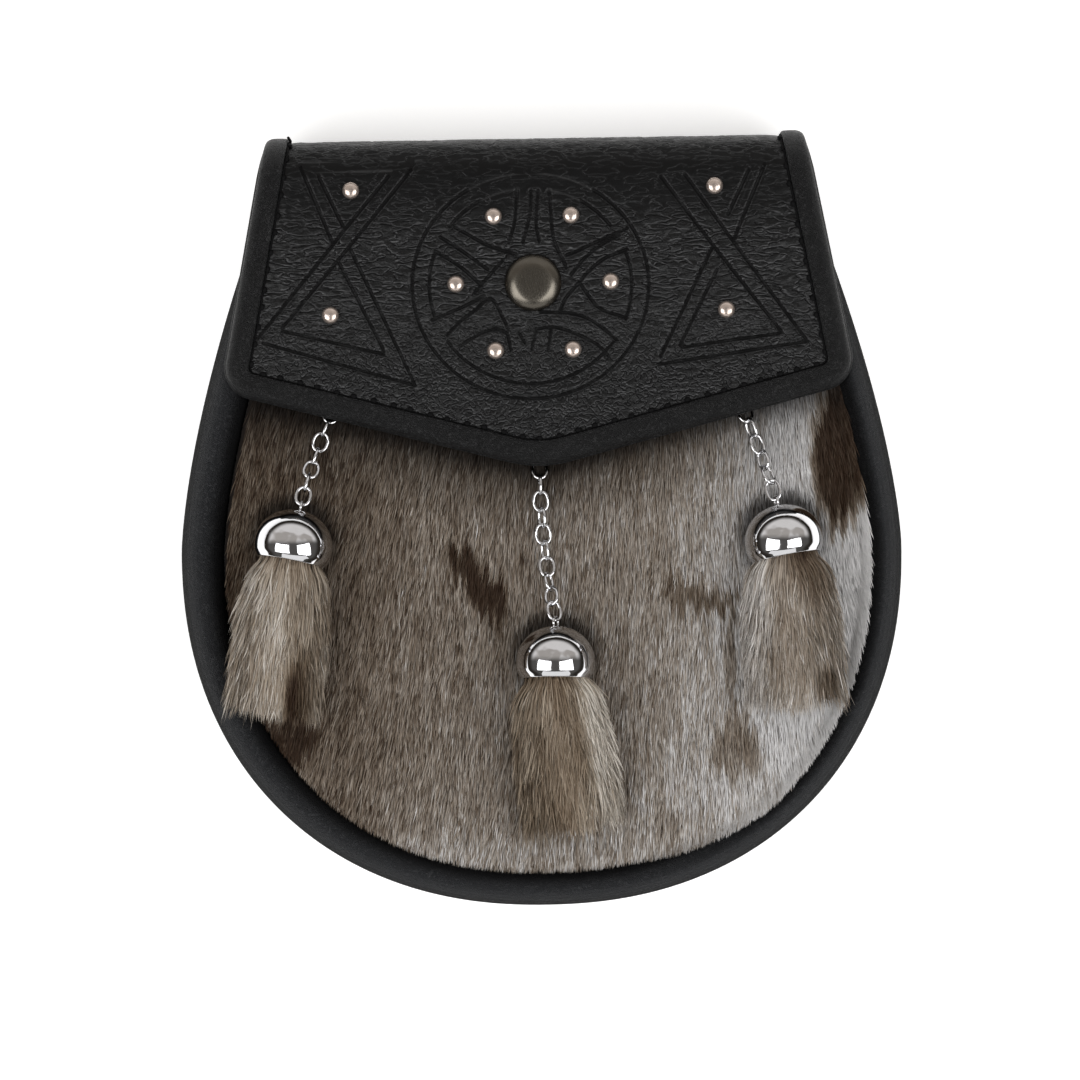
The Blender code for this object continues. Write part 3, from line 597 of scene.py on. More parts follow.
def through(points, steps):
    """Smooth curve through points, steps to each span."""
    points = np.asarray(points, float)
    ends = np.vstack((2 * points[0] - points[1], points, 2 * points[-1] - points[-2]))
    share = np.linspace(0.0, 1.0, steps, endpoint=False)[:, None]
    spans = []
    for a, b, c, d in zip(ends, ends[1:], ends[2:], ends[3:]):
        spans.append(0.5 * (2 * b + (c - a) * share + (2 * a - 5 * b + 4 * c - d) * share ** 2
                            + (3 * b - a - 3 * c + d) * share ** 3))
    return np.vstack((*spans, points[-1:]))


def evenly(points, spacing, *others):
    """Points and what goes with them, spaced evenly along their line."""
    travel = travelled(points)
    wanted = np.linspace(0.0, travel[-1], max(int(round(travel[-1] / spacing)), 2) + 1)
    return [between(wanted, travel, values) for values in (points, *others)]


def tube(path, radius, sides, closed=False):
    """Vertices and faces of a round bar along a path; radius may change along it."""
    path = np.asarray(path, float)
    count = len(path)
    if closed:
        along = unit(np.roll(path, -1, 0) - np.roll(path, 1, 0))
    else:
        along = unit(np.gradient(path, axis=0))
    side = np.cross(along[0], UP if abs(along[0][2]) < 0.9 else (1.0, 0.0, 0.0))
    angles = full_turn(sides)
    radii = np.broadcast_to(radius, count)
    rings = []
    for centre, direction, reach in zip(path, along, radii):
        side = unit(side - direction * (side @ direction))
        rise = np.cross(side, direction)
        rings.append(centre + reach * (np.outer(np.cos(angles), side) + np.outer(np.sin(angles), rise)))
    faces = grid_faces(count, sides, wrap_rows=closed, wrap_columns=True)
    if not closed:
        faces += end_faces(count, sides)
    return np.vstack(rings), faces


def turned(profile, steps):
    """Vertices and faces of a profile turned about Z; ends on the axis close it."""
    profile = np.asarray(profile, float)
    angles = full_turn(steps)
    rings = np.stack((np.outer(profile[:, 0], np.cos(angles)), np.outer(profile[:, 0], np.sin(angles)),
                      np.repeat(profile[:, 1:], steps, 1)), -1)
    return rings.reshape(-1, 3), grid_faces(len(profile), steps, wrap_columns=True)


def joined(parts):
    """One list of vertices and faces from several."""
    vertices, faces, count = [], [], 0
    for points, quads in parts:
        vertices.append(points)
        faces += [[corner + count for corner in face] for face in quads]
        count += len(points)
    return np.vstack(vertices), faces


def moved(part, matrix):
    points, faces = part
    matrix = np.array(matrix, float)
    return points @ matrix[:3, :3].T + matrix[:3, 3], faces


def cloud(points, size, seed):
    """Smooth random values from 0 to 1 over places in the plane; size is one number or one per axis."""
    cell = np.asarray(points) / np.broadcast_to(size, (2,)) + 512.0
    low = np.floor(cell).astype(int)
    share = cell - low
    share = share * share * (3.0 - 2.0 * share)
    table = np.random.default_rng(seed).random((1024, 1024))
    x, y = low[:, 0] % 1023, low[:, 1] % 1023
    bottom = table[x, y] * (1 - share[:, 0]) + table[x + 1, y] * share[:, 0]
    top = table[x, y + 1] * (1 - share[:, 0]) + table[x + 1, y + 1] * share[:, 0]
    return bottom * (1 - share[:, 1]) + top * share[:, 1]


def line_distance(points, lines):
    """Distance from each point to the nearest of the lines, which are rows of points."""
    nearest = np.full(len(points), 1.0)
    for line in lines:
        line = np.asarray(line, float)
        for start, end in zip(line, line[1:]):
            along = end - start
            share = np.clip(((points - start) @ along) / (along @ along), 0.0, 1.0)
            nearest = np.minimum(nearest, np.linalg.norm(points - start - share[:, None] * along, axis=1))
    return nearest


def tone_colours(tone):
    """Reflectance for tones from dark brown 0 to pale grey 1."""
    return between(np.clip(tone, 0.0, 1.0), np.linspace(0.0, 1.0, len(FUR_TONES)), FUR_TONES)


def paint(piece, name, values):
    """Writes a value or a colour to each vertex."""
    values = np.asarray(values, np.float32)
    if values.ndim == 1:
        piece.data.attributes.new(name, "FLOAT", "POINT").data.foreach_set("value", values)
    else:
        full = np.hstack((values, np.ones((len(values), 1), np.float32)))
        piece.data.attributes.new(name, "FLOAT_COLOR", "POINT").data.foreach_set("color", full.ravel())


# ---- outline and heights, as in the solids

def half_width(y):
    y = np.asarray(y, float)
    rise = np.maximum(y - WIDEST_Y, 0.0) / SHOULDER_HEIGHT
    drop = np.clip((WIDEST_Y - y) / BELLY_HEIGHT, 0.0, 1.0)
    belly = HALF_WIDTH * (1.0 - drop ** BELLY_POWER) ** (1.0 / BELLY_POWER)
    return np.where(y >= WIDEST_Y, HALF_WIDTH - SHOULDER_DRAW_IN * rise ** SHOULDER_POWER, belly)


def fur_over_roll(places):
    """How far the fur is swept over the front roll, from none to full: it is on the right side alone."""
    return np.interp(places[:, 0], (22 * MM, 60 * MM), (0.0, 1.0))


def roll_radius(sag):
    return ROLL_SIDE_RADIUS + (ROLL_BOTTOM_RADIUS - ROLL_SIDE_RADIUS) * sag


def outline(top_y, inset, spacing=1.2 * MM):
    """Places round the U from the top right to the top left, evenly spaced, and the sag at each."""
    y = np.linspace(top_y, WIDEST_Y, 60, endpoint=False)
    rise = (y - WIDEST_Y) / SHOULDER_HEIGHT
    slope = SHOULDER_DRAW_IN * SHOULDER_POWER * rise ** (SHOULDER_POWER - 1.0) / SHOULDER_HEIGHT
    outward = unit(np.stack((np.ones_like(y), slope), -1))
    shoulder = np.stack((half_width(y), y), -1) - outward * inset(0.0)
    angle = np.linspace(0.0, np.pi / 2, 90)
    across = np.maximum(np.cos(angle), 0.0) ** (2.0 / BELLY_POWER)
    down = np.sin(angle) ** (2.0 / BELLY_POWER)
    sag = np.sin(angle) ** 2
    outward = unit(np.stack((across ** (BELLY_POWER - 1.0) / HALF_WIDTH,
                             -down ** (BELLY_POWER - 1.0) / BELLY_HEIGHT), -1))
    belly = np.stack((HALF_WIDTH * across, WIDEST_Y - BELLY_HEIGHT * down), -1)
    belly -= outward * np.reshape(inset(sag), (-1, 1))
    belly[-1, 0] = 0.0
    right = np.vstack((shoulder, belly))
    sags = np.concatenate((np.zeros(len(shoulder)), sag))
    return evenly(mirrored(right), spacing, np.concatenate((sags, sags[-2::-1])))


def panel_top(x, y):
    reach = np.where(np.asarray(y) > WIDEST_Y, SHOULDER_HEIGHT, BELLY_HEIGHT)
    along = np.maximum(1.0 - ((y - WIDEST_Y) / reach) ** 2, 0.0)
    width = np.maximum(half_width(y), 1.0 * MM)
    across = np.maximum(1.0 - (x / width) ** 2, 0.0)
    return PANEL_EDGE_Z + PANEL_CROWN * along * across


def flap_face(x):
    return FLAP_EDGE_Z + FLAP_CROWN * (1.0 - (x / FLAP_CROWN_REACH) ** 2)


def rounded(before, corner, after, radius, steps):
    """Arc in place of a corner."""
    start, end = unit(before - corner), unit(after - corner)
    half = math.acos(float(start @ end)) / 2
    centre = corner + unit(start + end) * (radius / math.sin(half))
    first = corner + start * (radius / math.tan(half)) - centre
    last = corner + end * (radius / math.tan(half)) - centre
    turn = math.atan2(first[0] * last[1] - first[1] * last[0], first @ last)
    angles = np.linspace(0.0, turn, steps)
    cos, sin = np.cos(angles), np.sin(angles)
    return centre + np.stack((first[0] * cos - first[1] * sin, first[0] * sin + first[1] * cos), -1)


def flap_lower_edge(columns):
    """The flap's lower edge from right to left, and where each place is across it, from 1 to -1."""
    side = np.array((FLAP_TOP_HALF_WIDTH, FLAP_TOP_Y))
    left = FLAP_LOW_CORNER * (-1.0, 1.0)
    corner = rounded(side, FLAP_LOW_CORNER, FLAP_TIP, FLAP_LOW_RADIUS, 16)
    tip = rounded(FLAP_LOW_CORNER, FLAP_TIP, left, FLAP_TIP_RADIUS, 17)
    right = np.vstack((corner, tip[:9]))
    right[-1, 0] = 0.0
    whole = mirrored(right)
    travel = travelled(whole)
    wanted = np.linspace(0.0, travel[-1], columns)
    return between(wanted, travel, whole), 1.0 - 2.0 * wanted / travel[-1]


FLAP_TAPER = (FLAP_LOW_CORNER[0] - FLAP_TOP_HALF_WIDTH) / (FLAP_TOP_Y - FLAP_LOW_CORNER[1])
FOLD_Y = FLAP_TOP_Y - FOLD_RADIUS


def flap_grid(columns, front_rows, fold_rows, back_rows):
    """Middle surface of the flap and its normals: rows from the lower edge over the fold to the back tab."""
    lower, share = flap_lower_edge(columns)
    top = np.stack((share * (FLAP_TOP_HALF_WIDTH + FLAP_TAPER * FOLD_RADIUS), np.full(columns, FOLD_Y)), -1)
    rows, tilts = [], []

    def lay(x, y, z, tilt):
        rows.append(np.stack(np.broadcast_arrays(x, y, z), -1))
        tilts.append(tilt)

    for rise in np.linspace(0.0, 1.0, front_rows, endpoint=False):
        x, y = (lower + (top - lower) * rise).T
        lay(x, y, flap_face(x), 0.0)
    for tilt in np.linspace(0.0, np.pi / 2, fold_rows):
        y = FOLD_Y + FOLD_RADIUS * math.sin(tilt)
        x = share * (FLAP_TOP_HALF_WIDTH + FLAP_TAPER * (FLAP_TOP_Y - y))
        lay(x, y, flap_face(x) - FOLD_RADIUS * (1 - math.cos(tilt)), tilt)
    for tilt in np.linspace(np.pi / 2, np.pi, fold_rows):
        lay(share * FLAP_TOP_HALF_WIDTH, FOLD_Y + FOLD_RADIUS * math.sin(tilt),
            FLAP_BACK_Z + FOLD_RADIUS * (1 + math.cos(tilt)), tilt)
    lay(share * FLAP_TOP_HALF_WIDTH, FLAP_SHOULDER_Y, FLAP_BACK_Z, np.pi)
    for y in np.linspace(FLAP_TAB_TOP_Y, FLAP_TAB_END_Y, back_rows):
        lay(share * FLAP_TAB_HALF_WIDTH, y, FLAP_BACK_Z, np.pi)
    tilts = np.array(tilts)
    normals = np.stack((np.zeros_like(tilts), np.sin(tilts), np.cos(tilts)), -1)
    return np.array(rows), np.repeat(normals[:, None], columns, 1)


# ---- leather pieces

def make_rolls(leather):
    """Both rolls; the front one has painted shade at its seam, at its outer line and under the swept fur, so
    its middle reads as a painted highlight band.
    """
    flat, sag = outline(FRONT_ROLL_TOP_Y, roll_radius)
    path = np.column_stack((flat, np.full(len(flat), FRONT_ROLL_Z)))
    vertices, faces = tube(path, roll_radius(sag), ROLL_SIDES)
    piece = add_piece("front_roll_leather", vertices, faces, leather, "rim_leather", ["front_roll"], sharp=60)
    outward = unit(np.cross(UP, np.gradient(path, axis=0)))
    lateral = np.einsum("rsc,rc->rs", vertices.reshape(len(path), ROLL_SIDES, 3) - path[:, None], outward)
    covered = fur_over_roll(path)[:, None]
    under_fur = covered * fade(lateral, -0.6 * MM, 1.8 * MM)
    # painted shade across the roll: dark at its inner and outer edges, none along the middle, which is left
    # as a painted highlight band
    spread = lateral / roll_radius(sag)[:, None]
    side = np.interp(spread, (-1.0, -0.60, -0.10, 0.10, 0.55, 0.82, 1.0),
                     (0.95, 0.80, 0.12, 0.0, 0.0, 0.70, 0.98))
    paint(piece, "roll_painted_shade", np.maximum(0.9 * under_fur, side).ravel())
    flat, sag = outline(BACK_ROLL_TOP_Y, lambda sag: BACK_SETBACK + BACK_ROLL_RADIUS)
    path = np.column_stack((flat, np.full(len(flat), BACK_ROLL_RADIUS)))
    vertices, faces = tube(path, BACK_ROLL_RADIUS, ROLL_SIDES)
    add_piece("back_roll_leather", vertices, faces, leather, "rim_leather", ["back_roll"], sharp=60)


def make_gusset(leather):
    """Side wall round the D, from inside one roll's seam to inside the other's."""
    rows, columns = [], 300
    for share in np.linspace(0.0, 1.0, 13):
        bulge = GUSSET_BULGE * (1.0 - (2.0 * share - 1.0) ** 2)
        back = BACK_SETBACK + BACK_ROLL_RADIUS
        flat, sag = outline(GUSSET_TOP_Y, lambda sag: back + (roll_radius(sag) - back) * share - bulge)
        low = 2 * BACK_ROLL_RADIUS - 2 * GAP
        high = FRONT_ROLL_Z - roll_radius(sag) + 2 * GAP
        row = np.column_stack((flat, low + (high - low) * share))
        rows.append(between(np.linspace(0, len(row) - 1, columns), np.arange(len(row)), row))
    piece = add_piece("gusset_leather", np.vstack(rows), grid_faces(len(rows), columns), leather,
                      "rim_leather", ["gusset"], sharp=50)
    thicken(piece, GUSSET_THICKNESS)


def emboss_lines():
    """The lines pressed deep into the flap, and the shallow ones near the fold, in metres."""
    def drawn(line):
        return seen(*np.array(line).T)

    def arc(reach, low, high):
        turn = np.radians(np.linspace(low, high, max(int(abs(high - low) / 4), 4)))
        return seen(WHEEL_CENTRE[0] + reach[0] * np.cos(turn), WHEEL_CENTRE[1] - reach[1] * np.sin(turn))

    deep = [drawn(line) for line in LEFT_KNOT + RIGHT_KNOT]
    deep += [through(drawn(line), 5) if len(line) > 2 else drawn(line) for line in WHEEL_SPOKES]
    deep.append(arc(WHEEL_RIM, WHEEL_RIM_TOP[1], WHEEL_RIM_TOP[0] + 360))
    deep += [arc(WHEEL_INNER, low, high) for low, high in WHEEL_ARCS]
    shallow = [drawn(line) for line in KNOT_TOPS]
    shallow.append(arc(WHEEL_RIM, *WHEEL_RIM_TOP))
    shallow += [arc(WHEEL_INNER, low, high) for low, high in WHEEL_TOP_ARCS]
    return deep, shallow


def creases(places):
    """Leather between wandering creases that run mostly across: 0 in a crease, 1 on the pads between."""
    push = np.stack((cloud(places, 3.4 * MM, 5), cloud(places, 2.6 * MM, 6)), -1) - 0.5
    bent = places + push * (3.0 * MM, 2.0 * MM)
    coarse = np.abs(cloud(bent, (5.0 * MM, 2.0 * MM), 7) - 0.5) * 2.0
    fine = np.abs(cloud(bent, (2.6 * MM, 1.2 * MM), 8) - 0.5) * 2.0
    return 0.6 * np.minimum(coarse / 0.42, 1.0) + 0.4 * np.minimum(fine / 0.5, 1.0)


def make_flap(creased, lining):
    """A pressed leather face over a plain lining."""
    columns, front = ((430, 190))
    middle, normals = flap_grid(columns, front, 12, 6)
    steps = np.linalg.norm(np.diff(middle[front - 1:, :, 1:], axis=0), axis=-1)
    unrolled = middle[..., :2].copy()
    unrolled[front:, :, 1] = middle[front - 1, :, 1] + np.cumsum(steps, axis=0)
    flat = unrolled.reshape(-1, 2)
    away, shallow_away = (line_distance(flat, lines) for lines in emboss_lines())
    faint = 0.22 * np.clip((60 * MM - flat[:, 1]) / (35 * MM), 0.0, 1.0)
    groove = fade(away, GROOVE_FLOOR, GROOVE_WALL) * (1.0 - faint)
    lip = np.exp(-((away - LIP_PLACE) / LIP_WIDTH) ** 2)
    edge = line_distance(flat, [flap_lower_edge(120)[0]])
    side = FLAP_TOP_HALF_WIDTH + FLAP_TAPER * (FLAP_TOP_Y - np.minimum(flat[:, 1], FLAP_TOP_Y))
    edge = np.minimum(edge, side - np.abs(flat[:, 0]))
    press = np.exp(-((edge - BINDING_WIDTH) / SEAM_WIDTH) ** 2)
    plain = np.clip((flat[:, 1] - 74 * MM) / (14 * MM), 0.0, 0.8)
    plain -= 0.5 * np.clip((flat[:, 1] - 94 * MM) / (6 * MM), 0.0, 1.0)
    height = -GROOVE_DEPTH * groove + LIP_HEIGHT * lip - SEAM_DEPTH * press
    height -= SHALLOW_DEPTH * fade(shallow_away, 0.0, SHALLOW_WIDTH)
    height += CREASE_DEPTH * (creases(flat) - 0.6) * (1 - plain) * (1 - groove)
    skin = middle + normals * (FLAP_HALF_THICKNESS + height.reshape(middle.shape[:2]))[..., None]
    skin[-1] -= normals[-1] * 0.9 * MM
    piece = add_piece("flap_leather_face", skin.reshape(-1, 3), grid_faces(len(skin), columns), creased,
                      "flap_leather", ["flap"])
    paint(piece, "line_away", np.minimum(away / MM + 0.5 * faint, 3.0))
    paint(piece, "fold_away", np.minimum(shallow_away / MM, 3.0))
    low = np.clip((44 * MM - flat[:, 1]) / (10 * MM), 0.0, 1.0)
    paint(piece, "seam_away", np.minimum(np.abs(edge - BINDING_WIDTH) / MM + 0.30 * low, 3.0))
    columns = 90
    middle, normals = flap_grid(columns, 30, 10, 4)
    under = (middle - normals * 0.45 * MM).reshape(-1, 3)
    faces = grid_faces(len(middle), columns)
    thicken(add_piece("flap_lining", under, faces, lining, "flap_leather", sharp=50), LINING_THICKNESS)


def flap_edge_path(spacing):
    """The line round the flap's edge, from the back's right shoulder to the left one, with its frames."""
    front_rows, fold_rows = 60, 20
    middle, normals = flap_grid(300, front_rows, fold_rows, 2)
    shoulder = front_rows + 2 * fold_rows + 1
    right, right_up = middle[shoulder - 1::-1, 0], normals[shoulder - 1::-1, 0]
    left, left_up = middle[1:shoulder, -1], normals[1:shoulder, -1]
    bottom, bottom_up = middle[0, 1:], normals[0, 1:]
    path, up = evenly(np.vstack((right, bottom, left)), spacing, np.vstack((right_up, bottom_up, left_up)))
    along = unit(np.gradient(path, axis=0))
    inward = unit(np.cross(along, up))
    return path, inward, unit(np.cross(inward, along))


def make_binding(leather, thread):
    """Leather folded round the flap's edge, its stitch holes and its thread."""
    path, inward, up = flap_edge_path(0.9 * MM)
    outside = through(((4.60, 1.35), (4.55, 1.85), (4.05, 2.14), (2.8, 2.26), (1.4, 2.28), (0.2, 2.16),
                       (-0.8, 1.72), (-1.42, 0.95), (-1.58, 0.15), (-1.42, -0.45)), 2)
    lip = through(((-1.60, -0.62), (-1.98, -0.95), (-2.05, -1.45), (-1.75, -1.95), (-0.9, -2.22),
                   (1.5, -2.28), (4.2, -2.28), (4.6, -2.0), (4.6, -1.35)), 2)
    inner = np.array(((-0.1, -1.3), (-0.35, 0.0), (-0.1, 1.3)))
    profile = np.vstack((outside, lip, inner)) * MM
    rings = path[:, None] + inward[:, None] * profile[None, :, :1] + up[:, None] * profile[None, :, 1:]
    faces = grid_faces(len(path), len(profile), wrap_columns=True) + end_faces(len(path), len(profile))
    add_piece("flap_binding_leather", rings.reshape(-1, 3), faces, leather, "binding_leather",
              ["flap_binding"], sharp=65)

    front = np.flatnonzero(up[:, 2] > 0.15)
    path, inward, up = path[front], inward[front], up[front]
    seam = path + inward * 4.85 * MM + up * 1.05 * MM
    parts = [tube(seam, np.interp(path[:, 1], (34 * MM, 44 * MM), (0.17 * MM, 0.38 * MM)), 6)]
    ball = turned(through(((0.0, 1.0), (0.6, 0.8), (1.0, 0.0), (0.6, -0.8), (0.0, -1.0)), 3), 10)
    travel = travelled(seam)
    along = unit(np.gradient(seam, axis=0))
    for number, place in enumerate(np.arange(3.0 * MM, travel[-1] - 2 * MM, STITCH_PITCH)):
        index = int(np.argmin(abs(travel - place)))
        sway = 0.12 * MM * math.sin(5.1 * number)
        axes = np.stack((along[index] * 0.86 * MM, inward[index] * 0.66 * MM, up[index] * 0.40 * MM), -1)
        spot = seam[index] + inward[index] * (sway + 0.40 * MM) + up[index] * 0.25 * MM
        parts.append((ball[0] @ axes.T + spot, ball[1]))
    start = seam[np.argmax(seam[:, 1] - seam[:, 0] * 0.3)] + (0.0, -0.4 * MM, 0.5 * MM)
    loose = through((start, start + (0.35 * MM, 0.7 * MM, 0.3 * MM), start + (0.0, 1.4 * MM, 0.2 * MM),
                     start + (-0.35 * MM, 1.9 * MM, -0.2 * MM)), 5)
    parts.append(tube(loose, 0.38 * MM, 6))
    vertices, faces = joined(parts)
    add_piece("binding_stitches", vertices, faces, thread, "binding_leather")


# ---- metal

def make_snap_and_studs(dark, bright):
    face = float(flap_face(SNAP_CENTRE[0])) + FLAP_HALF_THICKNESS + GAP
    socket_top = -2 * (FLAP_HALF_THICKNESS + GAP) / MM
    socket_end = (float(panel_top(*SNAP_CENTRE)) + 2 * GAP - face) / MM
    rivet_top = socket_end - (PANEL_THICKNESS + 4 * GAP) / MM
    cap = through(((0.0, 2.40), (2.8, 2.38), (4.5, 2.28), (5.25, 2.08), (6.05, 1.70), (6.8, 1.20),
                   (7.3, 0.66), (7.45, 0.2), (6.9, -0.05)), 5)
    post = ((2.0, -0.05), (2.0, socket_top), (4.8, socket_top), (4.8, socket_end), (2.0, socket_end),
            (2.0, rivet_top), (3.6, rivet_top), (3.6, rivet_top - 1.0), (0.0, rivet_top - 1.0))
    part = moved(turned(np.vstack((cap, post)) * MM, 72), Matrix.Translation((*SNAP_CENTRE, face)))
    add_piece("snap_cap", *part, dark, "gunmetal", ["snap_fastener"], sharp=50)
    profile = through(((0.0, 1.5), (0.8, 1.43), (1.45, 1.22), (1.95, 0.84), (2.2, 0.40), (2.25, 0.05)), 4)
    dome = turned(np.vstack((profile * MM, ((0.0, 0.0),))), 32)
    for number in range(1, 11):
        node = f"stud_{number:02d}"
        low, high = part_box(node)
        middle = (low + high) / 2
        part = moved(dome, Matrix.Translation((middle.x, middle.y, low.z)))
        add_piece(f"dome_{node}", *part, bright, "nickel", [node], sharp=50)


def make_chain(side, links, metal):
    """Each link lies where its solid does, with a rounder wire."""
    parts, turn = [], full_turn(28)
    nodes = [f"{side}_link_{number}" for number in range(1, links + 1)]
    for node in nodes:
        points = np.array([vertex.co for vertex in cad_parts[node].data.vertices])
        axes = np.linalg.svd(points - points.mean(0), full_matrices=False)[2]
        length = np.ptp(points @ axes[0])
        circle = np.stack((np.sin(turn), np.cos(turn)), -1)
        reach = np.array((length, LINK_WIDTH)) / 2 - WIRE_RADIUS
        path = points.mean(0) + (np.abs(circle) ** LINK_ROUNDNESS * np.sign(circle) * reach) @ axes[:2]
        parts.append(tube(path, CHAIN_WIRE_RADIUS, 12, closed=True))
    vertices, faces = joined(parts)
    add_piece(f"{side}_chain_links", vertices, faces, metal, "chrome", nodes)


def cap_axis(tassel):
    lean = math.radians(tassel["cap_lean"])
    level = math.cos(CAP_NOSE_DOWN)
    return Vector((-math.sin(lean) * level, math.cos(lean) * level, -math.sin(CAP_NOSE_DOWN)))


def cap_mouth(tassel):
    x, y = (value * MM for value in tassel["cap"])
    return Vector((x, y, float(panel_top(x, y)) + CAP_RADIUS + GAP)) - cap_axis(tassel) * CAP_WIDEST_HEIGHT


def make_cap(side, tassel, metal):
    outside = through(((0.0, 14.0), (3.2, 13.55), (6.2, 12.15), (8.6, 9.8), (9.95, 7.1), (10.3, 4.4),
                       (9.95, 1.9), (9.1, 0.35), (8.75, 0.0), (8.35, 0.2)), 5)
    inside = through(((8.3, 0.6), (9.3, 4.2), (7.9, 9.4), (0.0, 13.2)), 4)
    cup = turned(np.vstack((outside, inside)) * MM, 96)
    axis = cap_axis(tassel)
    level = axis.cross(Vector(UP)).normalized()
    turn = Matrix((level, axis, level.cross(axis))).transposed()
    turn = turn @ Matrix.Rotation(math.radians(tassel["eye_roll"]), 3, "Y")
    standing = Matrix.Translation(cap_mouth(tassel)) @ (turn @ Matrix.Rotation(-math.pi / 2, 3, "X")).to_4x4()
    ring = np.stack([EYE_RADIUS * curve(full_turn(24)) for curve in (np.cos, np.sin, np.zeros_like)], -1)
    eye = moved(tube(ring, WIRE_RADIUS, 10, closed=True),
                Matrix.Translation(cap_mouth(tassel) + axis * (CAP_HEIGHT + 0.9 * MM)) @ turn.to_4x4())
    vertices, faces = joined([moved(cup, standing), eye])
    add_piece(f"{side}_tassel_cap", vertices, faces, metal, "chrome", [f"tassel_cap_{side}"], sharp=40)


# ---- fur

def ribbons(paths, widths, sides):
    """Flat tapered hairs along paths of strands x knots x 3: vertices, faces, and the knot of each vertex."""
    strands, knots = paths.shape[:2]
    left = paths[:, :-1] - sides[:, None] * widths[:, :-1, None] / 2
    right = paths[:, :-1] + sides[:, None] * widths[:, :-1, None] / 2
    pairs = np.stack((left, right), 2).reshape(strands, -1, 3)
    vertices = np.concatenate((pairs, paths[:, -1:]), 1)
    per = vertices.shape[1]
    base = np.arange(strands)[:, None] * per
    quads = np.stack([base + np.array((0, 1, 3, 2)) + 2 * knot for knot in range(knots - 2)], 1)
    tips = base + np.array((per - 3, per - 2, per - 1))
    knot_of = np.concatenate((np.repeat(np.arange(knots - 1), 2), (knots - 1,)))
    return vertices.reshape(-1, 3), quads.reshape(-1, 4).tolist() + tips.tolist(), knot_of


def fur_tone(places):
    """Tone of the panel's fur at places in metres."""
    across = CENTRE_PIXEL[0] + (places[:, 0] - TURN * places[:, 1]) / PIXEL
    down = CENTRE_PIXEL[1] - (places[:, 1] + TURN * places[:, 0]) / PIXEL
    tone = np.interp(across, (350, 420, 540, 640, 720, 800), (0.18, 0.35, 0.40, 0.49, 0.71, 0.93))
    # darker towards the flap, partly painted shadow, and lighter towards the bottom
    tone = tone + np.interp(down, (430, 520, 700, 860), (-0.06, 0.0, 0.02, 0.08))
    # the marks' edges wander, in pixels, and most along the hair
    wave_x = (cloud(places, 9 * MM, 21) - 0.5) * 9 + (cloud(places, (1.3 * MM, 5 * MM), 22) - 0.5) * 7
    wave_y = (cloud(places, 9 * MM, 23) - 0.5) * 9 + (cloud(places, (0.9 * MM, 8 * MM), 24) - 0.5) * 34
    for x, y, wide, tall, lean, mark, strength in FUR_MARKS:
        turn = math.radians(lean)
        dx, dy = across + wave_x - x, down + wave_y - y
        u = (dx * math.cos(turn) - dy * math.sin(turn)) / wide
        v = (dx * math.sin(turn) + dy * math.cos(turn)) / tall
        reach = np.sqrt(u * u + v * v)
        cover = strength * fade(reach, 0.72, 0.5) ** 1.2
        tone = tone + (mark - tone) * cover
    streak = cloud(places, (0.7 * MM, 9 * MM), 25) + cloud(places, (1.7 * MM, 15 * MM), 26) - 1.0
    return tone + 0.16 * streak


def hem_height(x):
    """Height of the flap's lower edge over a place on the fur."""
    return FLAP_TIP[1] + (FLAP_LOW_CORNER[1] - FLAP_TIP[1]) * np.abs(x) / FLAP_LOW_CORNER[0]


def fur_shade(places):
    """Share of its tone that the fur keeps under the painted shadow below the flap's edge and above each cap.
    """
    below = np.maximum(hem_height(places[:, 0]) - places[:, 1], 0.0)
    shade = np.interp(below, np.array((0.0, 2.6, 4.0, 5.3, 8.0, 12.0, 16.0, 22.0)) * MM,
                      (0.05, 0.08, 0.19, 0.34, 0.54, 0.70, 0.84, 1.0))
    shade = shade ** np.interp(places[:, 0], (-75 * MM, 0.0, 65 * MM), (1.35, 1.05, 0.65))
    for tassel in TASSELS.values():
        away = np.linalg.norm(places - np.array(tassel["cap"]) * MM - (0.0, 2.8 * MM), axis=1)
        shade = np.minimum(shade, np.interp(away, (9.6 * MM, 13.2 * MM), (0.15, 1.0)))
    return shade[:, None]


